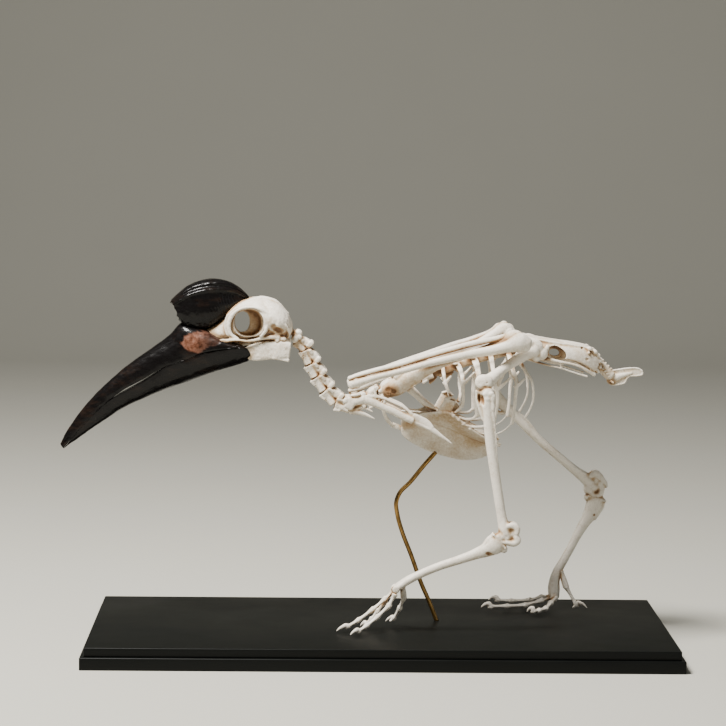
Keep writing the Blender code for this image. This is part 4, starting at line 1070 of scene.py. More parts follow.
def sternum_cutters():
    """The notches in the rear edge, two on each side."""
    cutters = []
    for way in (LEFT, RIGHT):
        for side in (12, 24):
            notch = [(119, way * side, 214, 2.8, 12), (142, way * side, 214, 3.2, 12)]
            cutters.append(carried(notch, power=2.6))
    return cutters


CORACOID = [
    (21.5, 21.5, 277, 4, 4.6), (26, 21.2, 272, 4.4, 5), (31, 20.5, 267.5, 3.2, 3.8),
    (38, 19.5, 261.5, 3, 3.3), (47, 18, 252.5, 4.6, 2.8), (53, 16.8, 247.5, 7, 2.4),
    (58, 15.8, 243.6, 9.6, 1.9),
]
SCAPULA = [
    (25, 24.4, 276, 2.8, 4.4), (31, 25.4, 280.5, 2.4, 4.4), (38, 26.2, 285.5, 1.7, 3.4),
    (60, 27.6, 298, 1.3, 3.2), (90, 28.4, 309, 1.1, 3.8), (112, 27, 315, 1, 3.6), (124, 25.8, 317.5, 0.9, 2),
]
WISHBONE = [(21, 22, 274), (12, 21, 267), (4, 18, 256), (1.5, 13, 244), (6, 6.5, 231)]


def coracoid_grids(way):
    """The strut from breastbone to shoulder: a knob above, a thin fan below, and a hook inside."""
    grids = [carried(mirrored(CORACOID, way), across=(0.45, 0.9 * way, 0), around=26)]
    hook = [(27, 20, 270, 2.6, 3), (29, 15.5, 268, 1.6, 2.4), (34, 13.5, 264, 1, 1.6)]
    grids.append(carried(mirrored(hook, way), across=(1, 0, 0), around=16))
    grids.append(ball((24, way * 23.5, 273.5), (4, 2.6, 4.6)))
    return grids


def wishbone_grids():
    """One bar from shoulder to shoulder, with a flat tail where it turns in front of the keel."""
    path = [(x, -side, z) for x, side, z in WISHBONE] + [(13, 0, 224)] + WISHBONE[::-1]
    rows = [(*point, 1.9, 1.5) for point in path]
    for end in (0, -1):
        rows[end] = (*path[end], 3.4, 1.8)
    grids = [carried(rows, across=(1, 0, 0.15), around=18)]
    grids.append(carried([(12, 0, 225, 1.2, 3.4), (18, 0, 223, 1, 3), (26, 0, 220, 1, 2.6)],
                         around=14))
    return grids


# The wings

HUMERUS = {
    "left": [(3, -28, 266, 5, 7.4), (14, -29, 271, 6, 10), (28, -33, 280, 5.5, 9), (45, -37, 290, 5, 7),
             (62, -41, 299, 4.6, 5.5), (85, -44, 308, 4.5, 4.8), (115, -47, 317, 4.6, 5),
             (134, -50, 325, 6, 7), (146, -52, 330, 8, 9.6), (153, -51, 328, 7, 8)],
    "right": [(18, 27, 276, 5, 6), (25, 29, 277, 6, 10), (38, 32, 282, 5.5, 9), (50, 34, 288, 5, 7),
              (66, 36, 296, 4.6, 5.5), (90, 38, 307, 4.5, 4.8), (115, 40, 318, 4.6, 4.8),
              (132, 41, 327, 6, 6.5), (142, 42, 331.4, 7, 8.4), (150, 42, 328.4, 5, 5.4)],
}
ULNA = {
    "left": [(160, -55, 323, 6, 8.6), (151, -56, 325.4, 7.6, 11.4), (138, -56, 321.4, 5.8, 7.4),
             (120, -55, 316.4, 4.6, 5.6), (103, -54, 313.4, 4.4, 5.1), (75, -53, 307.2, 4.1, 4.5),
             (47, -51, 300.2, 4, 4), (19, -49, 291.8, 3.8, 3.8), (-12, -47, 283.6, 4, 3.9),
             (-27, -46, 278.6, 4.8, 5), (-36, -46, 275.4, 5, 5.4)],
    "right": [(142, 46, 337, 4, 4.4), (138, 46, 333, 5, 7.4), (128, 46, 327.5, 4.6, 5.4),
              (108, 45, 320.3, 4.1, 4.3), (79, 44, 311.4, 4, 4.1), (50, 43, 301.2, 4, 4),
              (21, 42, 291.2, 4, 4), (-10, 41, 279.2, 4.2, 4.4), (-29, 41, 271.4, 5, 5.2),
              (-36, 41, 269.2, 4.5, 5)],
}
RADIUS = {
    "left": [(144, -52, 333, 3.8, 5), (136, -52, 331.4, 3.4, 4), (102, -51, 324.2, 3.3, 3.5),
             (74, -50, 316.4, 3.3, 3.5), (52, -49, 309.8, 3.3, 3.5), (19, -48, 299.2, 3.2, 3.3),
             (-12, -46, 291, 3.1, 3.1), (-28, -45, 286.2, 4, 3), (-38, -45, 282.6, 3.8, 2.8)],
    "right": [(131, 46, 316.5, 3.6, 4.2), (125, 46, 314.4, 3.2, 3.4), (108, 46, 309, 3.2, 3.3),
              (79, 45, 300, 3.2, 3.3), (50, 44, 290, 3.2, 3.4), (21, 43, 280, 3.2, 3.3),
              (-10, 42, 268.6, 3.3, 3.3), (-28, 41, 261.6, 4, 3.6), (-36, 41, 259.4, 3.6, 3)],
}
HAND_SIDE = {"left": -47, "right": 42}
HAND_DROP = {"left": 0, "right": -7}
THUMB_LIFT = {"left": 0, "right": 4.5}
THUMB = [(-37, 245.6, 2.4, 3), (-31, 245.4, 2.4, 3.2), (-24, 243.6, 1.8, 2.5), (-16, 240.6, 1.2, 1.5),
         (-9.6, 237.4, 0.5, 0.7)]
# Painted shade on the upper arm, strongest at its head, where the forearm shades it
ARM_PAINTED_SHADE = [(7, 34, 267, 11, 0.8), (30, 36, 279, 16, 0.26), (52, 42, 290, 16, 0.24),
              (70, 46, 298, 14, 0.2)]


def humerus_grids(side):
    """The upper arm: a head, a long crest above it, a sunken hollow behind, and two knuckles."""
    rows = HUMERUS[side]
    grids = [carried(rows, around=30, steps=8)]
    x, across, z = rows[2][:3]
    crest = [(x - 14, across, z + 3, 2, 4), (x - 2, across, z + 8, 1.6, 3),
             (x + 12, across, z + 9, 1.4, 2.4)]
    grids.append(carried(crest, around=16))
    x, across, z = rows[1][:3]
    grids.append(ball((x - 5, across + 3.6 * SIDES[side], z - 1.6), (5, 2.4, 2.4), tilt=-25, around=18))
    x, across, z = rows[-1][:3]
    for shift in (-4, 4):
        grids.append(ball((x - 4, across + shift, z + 0.5 * shift * SIDES[side]), (7.4, 4.2, 8.4)))
    return grids


def humerus_cutters(side):
    """The hollow below the head, open to the outside, and the groove between the two knuckles."""
    x, across, z = HUMERUS[side][1][:3]
    x1, across1, z1 = HUMERUS[side][-1][:3]
    return [ball((x - 10, across + 10 * SIDES[side], z - 2), (8.4, 7, 7.4), tilt=20),
            ball((x - 2, across + 10.6 * SIDES[side], z - 5), (7.6, 7, 5.8), tilt=30),
            ball((x - 8, across + 6 * SIDES[side], z - 7), (2.8, 3, 2.2), tilt=20),
            ball((x1 + 5, across1, z1), (3.4, 1.2, 9))]


def ulna_grids(side):
    """The rear forearm bone, with a hook at the elbow and a row of low knobs where quills sat."""
    rows = ULNA[side]
    grids = [carried(rows, around=30, steps=8)]
    path = through(rows, 24)
    for share in np.linspace(0.26, 0.86, 11):
        x, across, z, _, deep = path[int(share * (len(path) - 1))]
        grids.append(ball((x, across + 1.6 * SIDES[side], z - 0.82 * deep), (1.7, 1.2, 1.0), around=12))
    x, across, z = rows[1][:3]
    grids.append(ball((x + 3, across, z + 2), (5.5, 5, 6.5)))
    x, across, z = rows[-2][:3]
    grids.append(ball((x - 3, across, z - 1), (6, 4.4, 6.6), tilt=20))
    return grids


def hand_rows(side, rows):
    """Rows (x, z, half width, half depth) set on the folded hand's own plane."""
    return [(x, HAND_SIDE[side], z + HAND_DROP[side], across, deep) for x, z, across, deep in rows]


def palm_grids(side):
    """The fused hand bone: a wrist pulley, a thick and a thin bar with a slot between, and a spike."""
    at = HAND_SIDE[side]
    drop = HAND_DROP[side]
    return [
        ball((-37, at - 1.2, 254.4 + drop), (5.8, 3.4, 7.2), tilt=24, power=3.6),
        ball((-42, at - 2.4, 258 + drop), (3, 2.4, 3.4), tilt=40, power=3),
        ball((-36, at + 2.6, 254 + drop), (6, 2.4, 7.4)),
        carried(hand_rows(side, [(-43, 256.4, 3, 3.6), (-34, 256.5, 4.6, 5.6), (-22, 259.4, 3.6, 5)])),
        carried(hand_rows(side,
                          [(-34, 256, 4, 5.5), (-22, 258.4, 3.4, 5), (-12, 256.4, 3.1, 4.9),
                           (0, 251, 3, 4.3),
                                 (12, 246.2, 2.9, 4.4), (22, 241, 2.9, 4.4), (33, 236.5, 3.6, 4.6)])),
        carried(hand_rows(side,
                          [(-22, 260.6, 2, 3.4), (-10, 262.6, 1.7, 2.4), (1, 260.4, 1.5, 1.8),
                           (13, 255.4, 1.5, 1.8),
                                 (24, 250.2, 1.6, 1.9), (31, 243.8, 1.8, 2.2), (35, 239.4, 2, 2.8)])),
        carried(hand_rows(side, [(-8.6, 261.5, 1.8, 2.6), (-9.2, 267, 1.2, 1.5), (-10, 272.2, 0.6, 0.7)])),
        carried(hand_rows(side, [(-38, 247.6, 2.4, 2.8), (-31, 248, 2, 2.6), (-24, 251, 1.6, 2.2)])),
        ball((-31, at - 1.4, 264.4 + drop), (6.4, 3.2, 2.4), tilt=-8),
    ]


def finger_grids(side):
    """The flat first finger bone with its thick edge, and the pointed second one."""
    first = carried(hand_rows(side,
                              [(33, 239, 2.4, 5.5), (42, 235, 1.5, 6), (50, 231, 1.6, 5),
                               (55, 227.5, 2, 3)]))
    ridge = carried(hand_rows(side, [(34, 235.4, 2.2, 2.4), (46, 229.5, 1.9, 2), (54, 226, 2.2, 2.4)]))
    second = carried(hand_rows(side, [(55.6, 225.6, 2, 3.2), (64, 219.5, 1.6, 2.4), (71, 214.8, 1.2, 1.6),
                                      (77, 210.5, 0.8, 1)]))
    return [first, ridge, second]


# The hips and the tail

PELVIS = [
    (117, 317, 118, 309, 6), (128, 324, 128, 309, 12), (142, 330, 143, 308, 16),
    (158, 329.5, 158, 304.5, 24), (172, 328, 172, 304.5, 27), (190, 325.5, 190, 303.6, 28),
    (200, 324.2, 200, 301, 27.5), (213, 322.6, 213, 298.2, 26), (223, 321, 223, 295, 24),
    (231, 319.2, 231, 290, 21.5), (241, 314, 240, 284.6, 17), (249, 305.5, 247, 287.5, 12),
]


def pelvis_grids():
    """The hip shell, still full."""
    return [bodied(PELVIS, level=0.3, power=2.7, around=72)]


HIP_WINDOW = [(187.6, 318.6), (194.6, 319.6), (201.4, 316.4), (206.4, 311), (206.6, 306.4), (200.6, 303.6),
              (193.6, 304.8), (188.4, 309), (186, 314)]
HIP_INNER_WINDOW = [(189, 314.4), (195, 315), (201, 311), (202, 307), (198, 305), (191, 307), (188, 311)]
HIP_LUMPS = [(151, 21, 322, 5), (234, 16.6, 315.4, 3.6), (240, 13.4, 312, 3.8), (244, 11, 307.6, 3.8),
             (246, 9.6, 301.4, 3.6), (246, 9.6, 295, 3.4), (243.4, 12, 290, 3.4), (239, 16, 286.8, 3)]


def pelvis_extra_grids():
    """What stands inside or on the hip shell: the fused backbone, ridges, sockets and side bones."""
    grids = [carried([(150, 0, 317, 6.4, 6), (178, 0, 320.6, 6, 3.8), (210, 0, 318.4, 5.4, 3.4),
                      (235, 0, 311, 5, 3.8), (248, 0, 299.5, 4.4, 4.4)], power=2.4)]
    grids.append(plate([(148, 328), (175, 326.5), (200, 323), (222, 320), (234, 317), (243, 309), (243, 303),
                        (225, 312), (200, 317.5), (180, 319), (152, 316)], -1.0, 1.0))
    for way in (LEFT, RIGHT):
        grids.append(ball((159, way * 24, 311), (9, 4.6, 9)))
        for x, side, z, size in HIP_LUMPS:
            grids.append(ball((x, way * side, z), (size, 0.7 * size, 0.8 * size), tilt=30, around=18))
        sitter = [(174, 25, 307, 1.6, 3), (182, 26.6, 305.4, 1.5, 2.4), (190, 27, 303.8, 1.4, 2),
                  (200, 26.8, 301.6, 1.3, 1.7), (213, 25, 299.2, 1.3, 1.5), (223, 23, 296, 1.3, 1.6),
                  (231, 20.4, 291.4, 1.3, 2), (240, 16, 286, 1.2, 2)]
        grids.append(carried(mirrored(sitter, way), around=18))
        upper = [(150, 16, 327.5, 1.6, 2), (170, 21, 326, 1.6, 1.8), (190, 21.5, 323, 1.5, 1.6),
                 (212, 19, 320, 1.5, 1.5), (232, 15, 316.5, 1.5, 1.5)]
        grids.append(carried(mirrored(upper, way), around=16))
        for x in (158, 166, 174, 212, 222, 231):
            drop = (x - 158) * 0.12
            arm = [(x, 2, 319.5 - drop, 1.8, 1.3), (x + 1, 12, 321 - drop, 1.2, 1.1),
                   (x + 2, 20, 320 - drop, 1.6, 1.2)]
            grids.append(carried(mirrored(arm, way), across=(1, 0, 0), around=12))
        pubis = [(163, 25, 304.5, 1.5, 2), (176, 26, 300.4, 1.1, 1.3), (190, 26, 296.6, 1.0, 1.2),
                 (200, 25.6, 294.6, 1.0, 1.1), (212, 24.4, 290.6, 1, 1.1), (222, 23, 287.4, 0.9, 1.2),
                 (231, 21.6, 284.8, 1.3, 1.3)]
        grids.append(carried(mirrored(pubis, way), around=14))
        tie = [(199, 26.4, 302, 1, 1.6), (202, 25.6, 295, 0.9, 1.2)]
        grids.append(carried(mirrored(tie, way), across=(1, 0, 0), around=14))
        grids.append(plate([(183, 322), (213, 320), (214, 301), (183, 302)], *sorted((way * 11, way * 13))))
    return grids


SHELL_WALL = 1.7


def pelvis_inside():
    """The space under the hip shell, open below."""
    rows = []
    for top_x, top_z, bottom_x, bottom_z, half in PELVIS:
        rows.append((top_x, top_z - SHELL_WALL, bottom_x, bottom_z - 24, half - SHELL_WALL))
    rows[0] = (112, 314, 112, 280, 4)
    rows[-1] = (258, 300, 258, 250, 9.6)
    return [bodied(rows, level=0.6, power=2.9, around=72, hang=2.9)]


def pelvis_holes():
    """The windows behind the hip sockets, the sockets, small openings and a dent in front."""
    cutters = []
    for way in (LEFT, RIGHT):
        cutters.append(plate(HIP_WINDOW, *sorted((way * 14, way * 40))))
        cutters.append(plate(HIP_INNER_WINDOW, *sorted((way * 9, way * 15))))
        cutters.append(ball((159, way * 28.6, 311), (5.4, 5, 5.4)))
        for x, z, size in ((225, 316.6, 1.5), (230.6, 304.2, 1.7), (235, 312.5, 1.4), (239, 307, 1.1)):
            cutters.append(carried([(x, way * 6, z, size, 0.8 * size), (x, way * 34, z, size, 0.8 * size)],
                                   across=(1, 0, 0), around=12))
        hollow = [(147, 29, 319, 8, 4), (160, 34, 322, 9, 4)]
        cutters.append(carried(mirrored(hollow, way), across=(1, 0, 0)))
    return cutters


PELVIS_STAINS = both_sides([(197, 9, 312, 10, 0.85), (180, 26, 304, 9, 0.55)])
PELVIS_STAINS += [(243, 0, 295, 9, 0.35), (180, 0, 306, 20, 0.3)]


def tail_grids():
    """Four short tail bones in a row, each a block with stubby side arms and a low spine."""
    grids = []
    for i in range(4):
        x = 249.4 + 3.1 * i
        z = 294.4 - 3.2 * i
        half = 5.5 - 0.5 * i
        grids.append(carried([(x - 2.2, 0, z + 1.6, 5.8, 6), (x + 1.4, 0, z - 1.2, 5.8, 6)], power=2.6))
        rows = [(x + 0.6, -1.35 * half, z - 2.4, 2.2, 0.9), (x, 0, z, 2.6, 2.4),
                (x + 0.6, 1.35 * half, z - 2.4, 2.2, 0.9)]
        grids.append(carried(rows, across=(1, 0, 0), around=14, dome=0.3))
        grids.append(carried([(x, 0, z + 2, 1.8, 2.6), (x + 1.8, 0, z + 6.8, 1.8, 1.6)], around=14))
    return grids


PYGOSTYLE = [(261, 289.5), (268, 290.5), (277, 292), (286, 292.6), (292, 292), (296.6, 288.6),
             (296.4, 285.6), (291, 284), (281, 282.6), (278.4, 279.6), (276.6, 276), (270, 273.8),
             (262, 273.4), (257, 277), (258, 283)]


def pygostyle_grids():
    """The last tail bone: a blade with thick edges over a stout core."""
    loop = PYGOSTYLE + PYGOSTYLE[:1]
    grids = [plate(PYGOSTYLE, -0.9, 0.9)]
    grids.append(carried([(x, 0, z, 1.5, 0.9) for x, z in loop], around=14))
    grids.append(carried([(259, 0, 281, 4.5, 5.4), (264, 0, 281.4, 3.6, 5), (272, 0, 283.6, 2.8, 3.6),
                          (284, 0, 287, 1.8, 2)]))
    for way in (LEFT, RIGHT):
        grids.append(carried([(260, way * 3, 278, 1.4, 2), (263, way * 6, 276, 1, 1.4)], across=(1, 0, 0),
                             around=14))
    return grids


# The legs

FEMUR = {
    "left": [(170, -30, 315, 8, 9.6), (162, -32, 312.6, 7.4, 8.6), (151, -38, 305.6, 5.6, 6.4),
             (135, -50, 296, 5, 5.5), (122, -60, 287, 6.5, 6.5), (113, -66, 280, 8, 8.5)],
    "right": [(158, 31, 312, 6, 7), (152, 38, 303, 5.2, 5.8), (143, 48, 288, 5, 5.4),
              (135, 57, 274, 6.5, 6.5), (131, 62, 265, 8, 8.5)],
}
SHIN = {
    "left": [(115, -70, 271, 8, 7.6), (115, -71, 263, 7.5, 7.4), (116.6, -72, 250, 6.2, 6.4),
             (117.6, -72, 235, 5.4, 6.2), (120, -72, 212, 5.2, 5.8), (124.4, -72, 184, 5, 5.6),
             (130, -72, 150, 5, 5.5), (134, -72, 128, 5.6, 5.8), (137, -72, 117, 7.4, 7.4),
             (138.5, -72, 109, 7.5, 8.2)],
    "right": [(129, 66, 260, 8, 9.5), (132, 68, 253, 7.5, 9), (142, 70, 243, 6, 7), (154, 72, 232, 5.2, 5.8),
              (170, 72, 216, 4.9, 5.4), (187, 72, 199.5, 4.8, 5.2), (211, 72, 179, 4.7, 5.1),
              (230, 72, 163.5, 5, 5.6), (245, 72, 152, 6.5, 7.6), (252, 72, 144, 7.5, 8.4)],
}
FOOT_SHAFT = {
    "left": [(130.5, -72, 103.5, 8.5, 10.6), (126, -72, 99.6, 8.4, 10.8), (118, -72, 94.6, 7.2, 8.4),
             (106, -72, 89.6, 5.8, 6.2), (87, -72, 82.6, 5, 5), (65, -71, 75, 4.8, 4.6),
             (43, -70.5, 65.5, 5.2, 4.5), (28, -70, 57.5, 7, 4.6), (17, -70, 50, 9, 4.2)],
    "right": [(254.5, 72, 131, 8.5, 10.2), (252.5, 72, 124, 8.2, 10), (248.6, 72, 114, 7.2, 8.6),
              (242.5, 72, 104, 6, 6.6), (234, 72, 89, 5.2, 5.2), (225, 72, 71, 4.8, 4.7),
              (217.5, 72, 57, 5.2, 4.8), (211, 72, 45, 5.8, 5.4), (207.4, 72, 33, 7, 6.2),
              (206.8, 72, 22, 8.8, 7), (207.2, 72, 15, 9, 6.4)],
}
TOES = {
    "left_inner": [(14, -62, 46), (4, -59, 31), (-4, -57, 20), (-11, -56, 10.5), (-17, -55, 5.5),
                   (-23, -54, 2)],
    "left_middle": [(13, -68, 45), (4, -67, 36), (-10, -70, 24.5), (-26, -73, 13), (-38, -77, 6.5),
                    (-50, -80, 1.6)],
    "left_outer": [(15, -77, 44), (8, -77, 30), (-5, -80, 18), (-17, -87, 9.5), (-26, -94, 5),
                   (-35, -101, 1.6)],
    "left_rear": [(24, -61, 50), (25.4, -54, 35), (21.4, -47, 22), (15, -40, 9), (6, -34, 3.6)],
    "right_inner": [(208, 64, 14), (202, 57, 9), (195, 43, 5.5), (186, 33, 5), (179, 28, 5.5),
                    (172, 28, 1.6)],
    "right_middle": [(206, 71, 14), (192, 70, 9.5), (172, 62, 5.5), (150, 58, 5), (131, 53, 5.5),
                     (120, 52, 1.6)],
    "right_outer": [(206, 79, 14), (193, 87, 10.5), (180, 91, 6), (158, 91, 5), (142, 93, 5.5),
                    (132, 97, 1.6)],
    "right_rear": [(214.6, 71, 45), (220.6, 67, 27), (232.6, 61, 6.4), (244.6, 57, 0.8)],
}
HIP_KNOB = [(169, 31, 318, (11.6, 5, 10.4)), (178, 30, 311, (7.6, 4.6, 8)), (162, 33, 322, (8, 5, 7)),
            (184, 28.6, 317, (3.2, 3, 4.4)), (172, 32.6, 306, (5, 3, 4))]
SHIN_CORE = {"left": (146.6, 113), "right": (254.5, 153.6)}
SHIN_KNUCKLES = {
    "left": [
        [(140, 121.5, 3.2), (146.4, 122, 4.2), (150, 118, 4), (149.6, 113, 3.4)],
        [(149, 110, 3.4), (151, 105.4, 4.2), (148, 102.6, 4), (140, 103, 3.2), (131, 105, 3.2),
         (128.6, 110, 3.4)],
    ],
    "right": [
        [(247.4, 158.6, 3), (252.4, 160.4, 4.6), (257.6, 157.6, 4.4), (261.4, 153.6, 3.2), (264.6, 150, 2.4),
         (266, 145.6, 1.3)],
        [(258.6, 150, 3.6), (260.4, 143, 3.6), (257.6, 136, 3.6), (251, 135, 3.6), (246.4, 141, 3.6)],
    ],
}
SHIN_RECESS = {"left": (138, 108.8), "right": (254, 141)}
SHIN_PITS = [(0.5, 0.5, (6, 3, 4)), (5, 3.6, (3.6, 2.8, 4)), (-5, -1, (3, 2.4, 2.4)), (1, 8, (2, 2.4, 1.6))]
HEEL_RIDGE = [(1, 9, 1.7, 2.4), (7, 10, 1.4, 1.8), (14, 8.4, 1.2, 1.6), (24, 5.4, 1, 1.4)]
HEEL_HOLE = {"left": (121.6, -72, 88.8), "right": (252, 72, 112.4)}
HEEL_HOLE_RADII = {"left": (8, 7, 2.9), "right": (2.2, 5.4, 1.7)}
HEEL_HOLE_TILT = {"left": 24, "right": 60}


def femur_grids(side):
    """The thigh: a head in the hip socket, a knob outside it, and two knuckles at the knee."""
    way = SIDES[side]
    grids = [carried(FEMUR[side], around=30, steps=8), ball((160, way * 25, 312), (4.6, 5.6, 4.6))]
    for x, out, z, radii in HIP_KNOB:
        grids.append(ball((x, way * out, z), radii, tilt=20))
    x, across, z = FEMUR[side][-1][:3]
    for shift in (-4.6, 4.6):
        grids.append(ball((x - 1.6, across + shift, z + 1.4), (9.6, 4.4, 8.8), power=2.2))
    return grids


def femur_cutters(side):
    """The groove between the knuckles, two pits beside them and a dent on the outer side."""
    x, across, z = FEMUR[side][-1][:3]
    cutters = [ball((x - 8, across, z - 3), (4, 1.6, 10), tilt=20)]
    for pit_x, pit_z in ((x - 7, z + 1.6), (x + 1.4, z + 2.2)):
        cutters.append(ball((pit_x, across + 9 * SIDES[side], pit_z), (1.1, 1.8, 1.3)))
    cutters.append(ball((x - 1, across + 11.4 * SIDES[side], z - 3), (6.4, 3.6, 3), tilt=-6))
    return cutters


def shin_grids(side):
    """The shin: a flat top with a crest in front, the splint bone beside it, and a pulley below."""
    way = SIDES[side]
    rows = SHIN[side]
    grids = [carried(rows, around=30, steps=8)]
    x, across, z = rows[0][:3]
    grids.append(ball((x - 6.4, across - 3.4 * way, z - 10), (6.4, 2.2, 12), tilt=-6))
    crest = [(x - 11.6, across, z + 2, 2.6, 1.7), (x - 11.4, across, z - 8, 2.4, 1.7),
             (x - 8, across, z - 17, 2.4, 2.6), (x - 3, across, z - 30, 2, 3)]
    grids.append(carried(crest, around=18))
    top = [(x - 12, across, z + 1, 3, 2), (x - 4, across, z - 1, 3, 3.4), (x + 4, across, z, 5, 3.6)]
    grids.append(carried(top, around=18))
    for shift, lump_x, lump_z in ((6, -2, -1.6), (7, 4, -1), (6.4, 5.6, -7), (6.6, 0, -7)):
        grids.append(ball((x + lump_x, across + way * shift, z + lump_z), (3.6, 2.4, 3), around=16))
    x1, _, z1 = rows[3][:3]
    x2, _, z2 = rows[5][:3]
    splint = [(x + 6, across + way * 6.8, z - 3, 2.4, 3.2), (x + 6, across + way * 6.8, z - 11, 1.6, 1.9),
              (x + 6.6, across + way * 6.4, z - 16, 1.9, 2.5),
              (x + 6.4, across + way * 6.4, z - 21, 1.3, 1.5), (x + 6.8, across + way * 6, z - 26, 1.6, 2.2),
              (x1 + 6, across + way * 5.2, z1, 1.2, 1.4), (x2 + 4, across + way * 3.6, z2, 0.9, 0.9)]
    grids.append(carried(splint, around=16))
    x, across, z = rows[-1][:3]
    for shift in (-5, 5):
        for path in SHIN_KNUCKLES[side]:
            rim = [(rim_x, across + shift, rim_z, 3.2, deep) for rim_x, rim_z, deep in path]
            grids.append(carried(rim, around=18))
    grids.append(ball((x - 6, across, z - 1), (6.4, 8, 7.6), tilt=20))
    core_x, core_z = SHIN_CORE[side]
    grids.append(ball((core_x, across, core_z), (6.6, 7, 8), tilt=-20))
    return grids


def shin_cutters(side):
    """A dent beside the crest, and pits in both sides of the pulley at the ankle."""
    way = SIDES[side]
    x, across, z = SHIN[side][0][:3]
    cutters = [ball((x - 6, across + 9 * way, z - 8), (2.9, 8.4, 8), tilt=-10)]
    ankle_across = SHIN[side][-1][1]
    x, z = SHIN_RECESS[side]
    for shift in (-10, 10):
        for more_x, more_z, radii in SHIN_PITS:
            cutters.append(ball((x + more_x, ankle_across + shift, z + more_z), radii, tilt=35))
    return cutters


def foot_grids(side):
    """The long foot bone: a heel with ridges, a shaft grooved in front, and three pulleys."""
    rows = FOOT_SHAFT[side]
    grids = [carried(rows, around=30, steps=8, power=2.3)]
    start = np.array(rows[0][:3], dtype=float)
    heading = np.array(rows[1][:3], dtype=float) - start
    heading /= np.linalg.norm(heading)
    back = np.array((-heading[2], 0, heading[0]))
    if side == "left":
        back = -back
    for shift in (-3.4, 3.4):
        aside = np.array((0, shift, 0))
        ridge = []
        for down, out, wide, deep in HEEL_RIDGE:
            ridge.append((*(start + heading * down + back * out + aside), wide, deep))
        grids.append(carried(ridge, around=16))
    rim = [start - back * 10 - heading * 1, start - heading * 1.6, start + back * 10.6 - heading * 0.6]
    for shift in (-5, 5):
        top = [(*(point + np.array((0, shift, 0))), 3, 1.7) for point in rim]
        grids.append(carried(top, around=18))
    grids.append(ball(tuple(start - back * 10.4 + heading * 1.4), (4.2, 6, 4.2)))
    x, across, z = rows[-1][:3]
    for shift, forward in ((-7.5, 0.0), (0.0, 1.6), (7.5, 0.0)):
        for half in (-1.3, 1.3):
            grids.append(ball((x - 1 - forward, across + shift + half, z - 1), (4.4, 1.4, 4.4), around=20))
    return grids


def foot_cutters(side):
    """The slots between the three pulleys, the groove in front of the shaft, and the heel's holes."""
    rows = FOOT_SHAFT[side]
    x, across, z = rows[-1][:3]
    cutters = []
    for shift in (-3.8, 3.8):
        cutters.append(ball((x - 1, across + shift, z - 3), (8, 0.9, 5)))
    groove = []
    for x, across, z, _, deep in rows[3:7]:
        lift = deep + 0.4 if side == "left" else 0
        groove.append((x - (deep + 0.4), across, z + lift, 1.6, 1.4))
    cutters.append(carried(groove, around=16))
    x, across, z = HEEL_HOLE[side]
    for shift in (-9.4, 9.4):
        cutters.append(ball((x, across + shift, z), HEEL_HOLE_RADII[side], tilt=HEEL_HOLE_TILT[side]))
    return cutters


# Toes: a joint's radius, how high a claw arches and ends, and both shapes as shares of their length

TOE_RADIUS = 3.8
CLAW_RISE = {"left": 2.0, "right": 3.6}
CLAW_TIP = {"left": 0.6, "right": 3.0}
CLAW_ARCH = [(-0.02, 0.2, 2.5, 2.9), (0.14, 0.9, 2.2, 2.8), (0.4, 1.0, 1.7, 2.1), (0.7, 0.75, 1.2, 1.5),
             (1.0, 0.0, 0.5, 0.6)]
TOE_WAIST = [(0.04, 1.05, 0.95), (0.14, 0.86, 0.8), (0.45, 0.64, 0.56), (0.72, 0.68, 0.6), (0.93, 0.9, 0.85)]


def toe_grids(name):
    """Toe bones end to end, each a waisted bar with a two-part knuckle, and a claw that arches forward."""
    path = [np.array(point, dtype=float) for point in TOES[name]]
    side, which = name.split("_")
    grids = []
    if which == "rear":
        root = path[0]
        stout = [(*(root + np.array((-1.0, 0, 3))), 2.4, 2.2), (*(0.6 * root + 0.4 * path[1]), 3.0, 3.4),
                 (*path[1], 3.2, 3.8)]
        grids.append(carried(stout, around=18))
        fork = path[2] if side == "right" else path[3]
        prong = [(*fork, 2.2, 2.4), (*(fork + np.array((-4.0, -2, -2.6))), 1.0, 1.2)]
        grids.append(carried(prong, around=14))
    for i, (here, there) in enumerate(zip(path[:-2], path[1:-1])):
        joint = TOE_RADIUS * (1 - 0.05 * i)
        step = there - here
        length = np.linalg.norm(step)
        step = step / length
        rows = []
        for share, wide, deep in TOE_WAIST:
            rows.append((*(here + step * share * length), wide * joint * 1.12, deep * joint * 0.92))
        grids.append(carried(rows, around=20, steps=5, dome=0.5))
        for shift in (-0.5, 0.5):
            knuckle = there - step + np.array((0, shift * joint, 0))
            grids.append(ball(knuckle, (0.84 * joint, 0.4 * joint, 0.88 * joint), around=16))
        heel_lump = here + step * 1.4 - np.array((0, 0, 0.34 * joint))
        grids.append(ball(heel_lump, (0.7 * joint, 0.9 * joint, 0.66 * joint), around=16))
    heel, tip = path[-2:]
    reach = tip - heel
    rows = []
    for share, lift, wide, deep in CLAW_ARCH:
        place = heel + share * reach + np.array((0, 0, lift * CLAW_RISE[side] + share * CLAW_TIP[side]))
        rows.append((*place, wide, deep))
    grids.append(carried(rows, around=18))
    claw_root = (heel[0] + 0.08 * reach[0], heel[1] + 0.08 * reach[1], heel[2] - 1.2)
    grids.append(ball(claw_root, (2.6, 1.9, 1.6), around=14))
    return grids


# The mount

ROD_PATH = [
    (66, -6, -2), (57, -5, 21), (48, -4, 41), (35, -3, 76), (24, -2, 104), (19, -1, 122), (17.5, -1, 136),
    (21, 0, 146), (33, 0, 159), (49, 0, 179), (62, 0, 194),
]


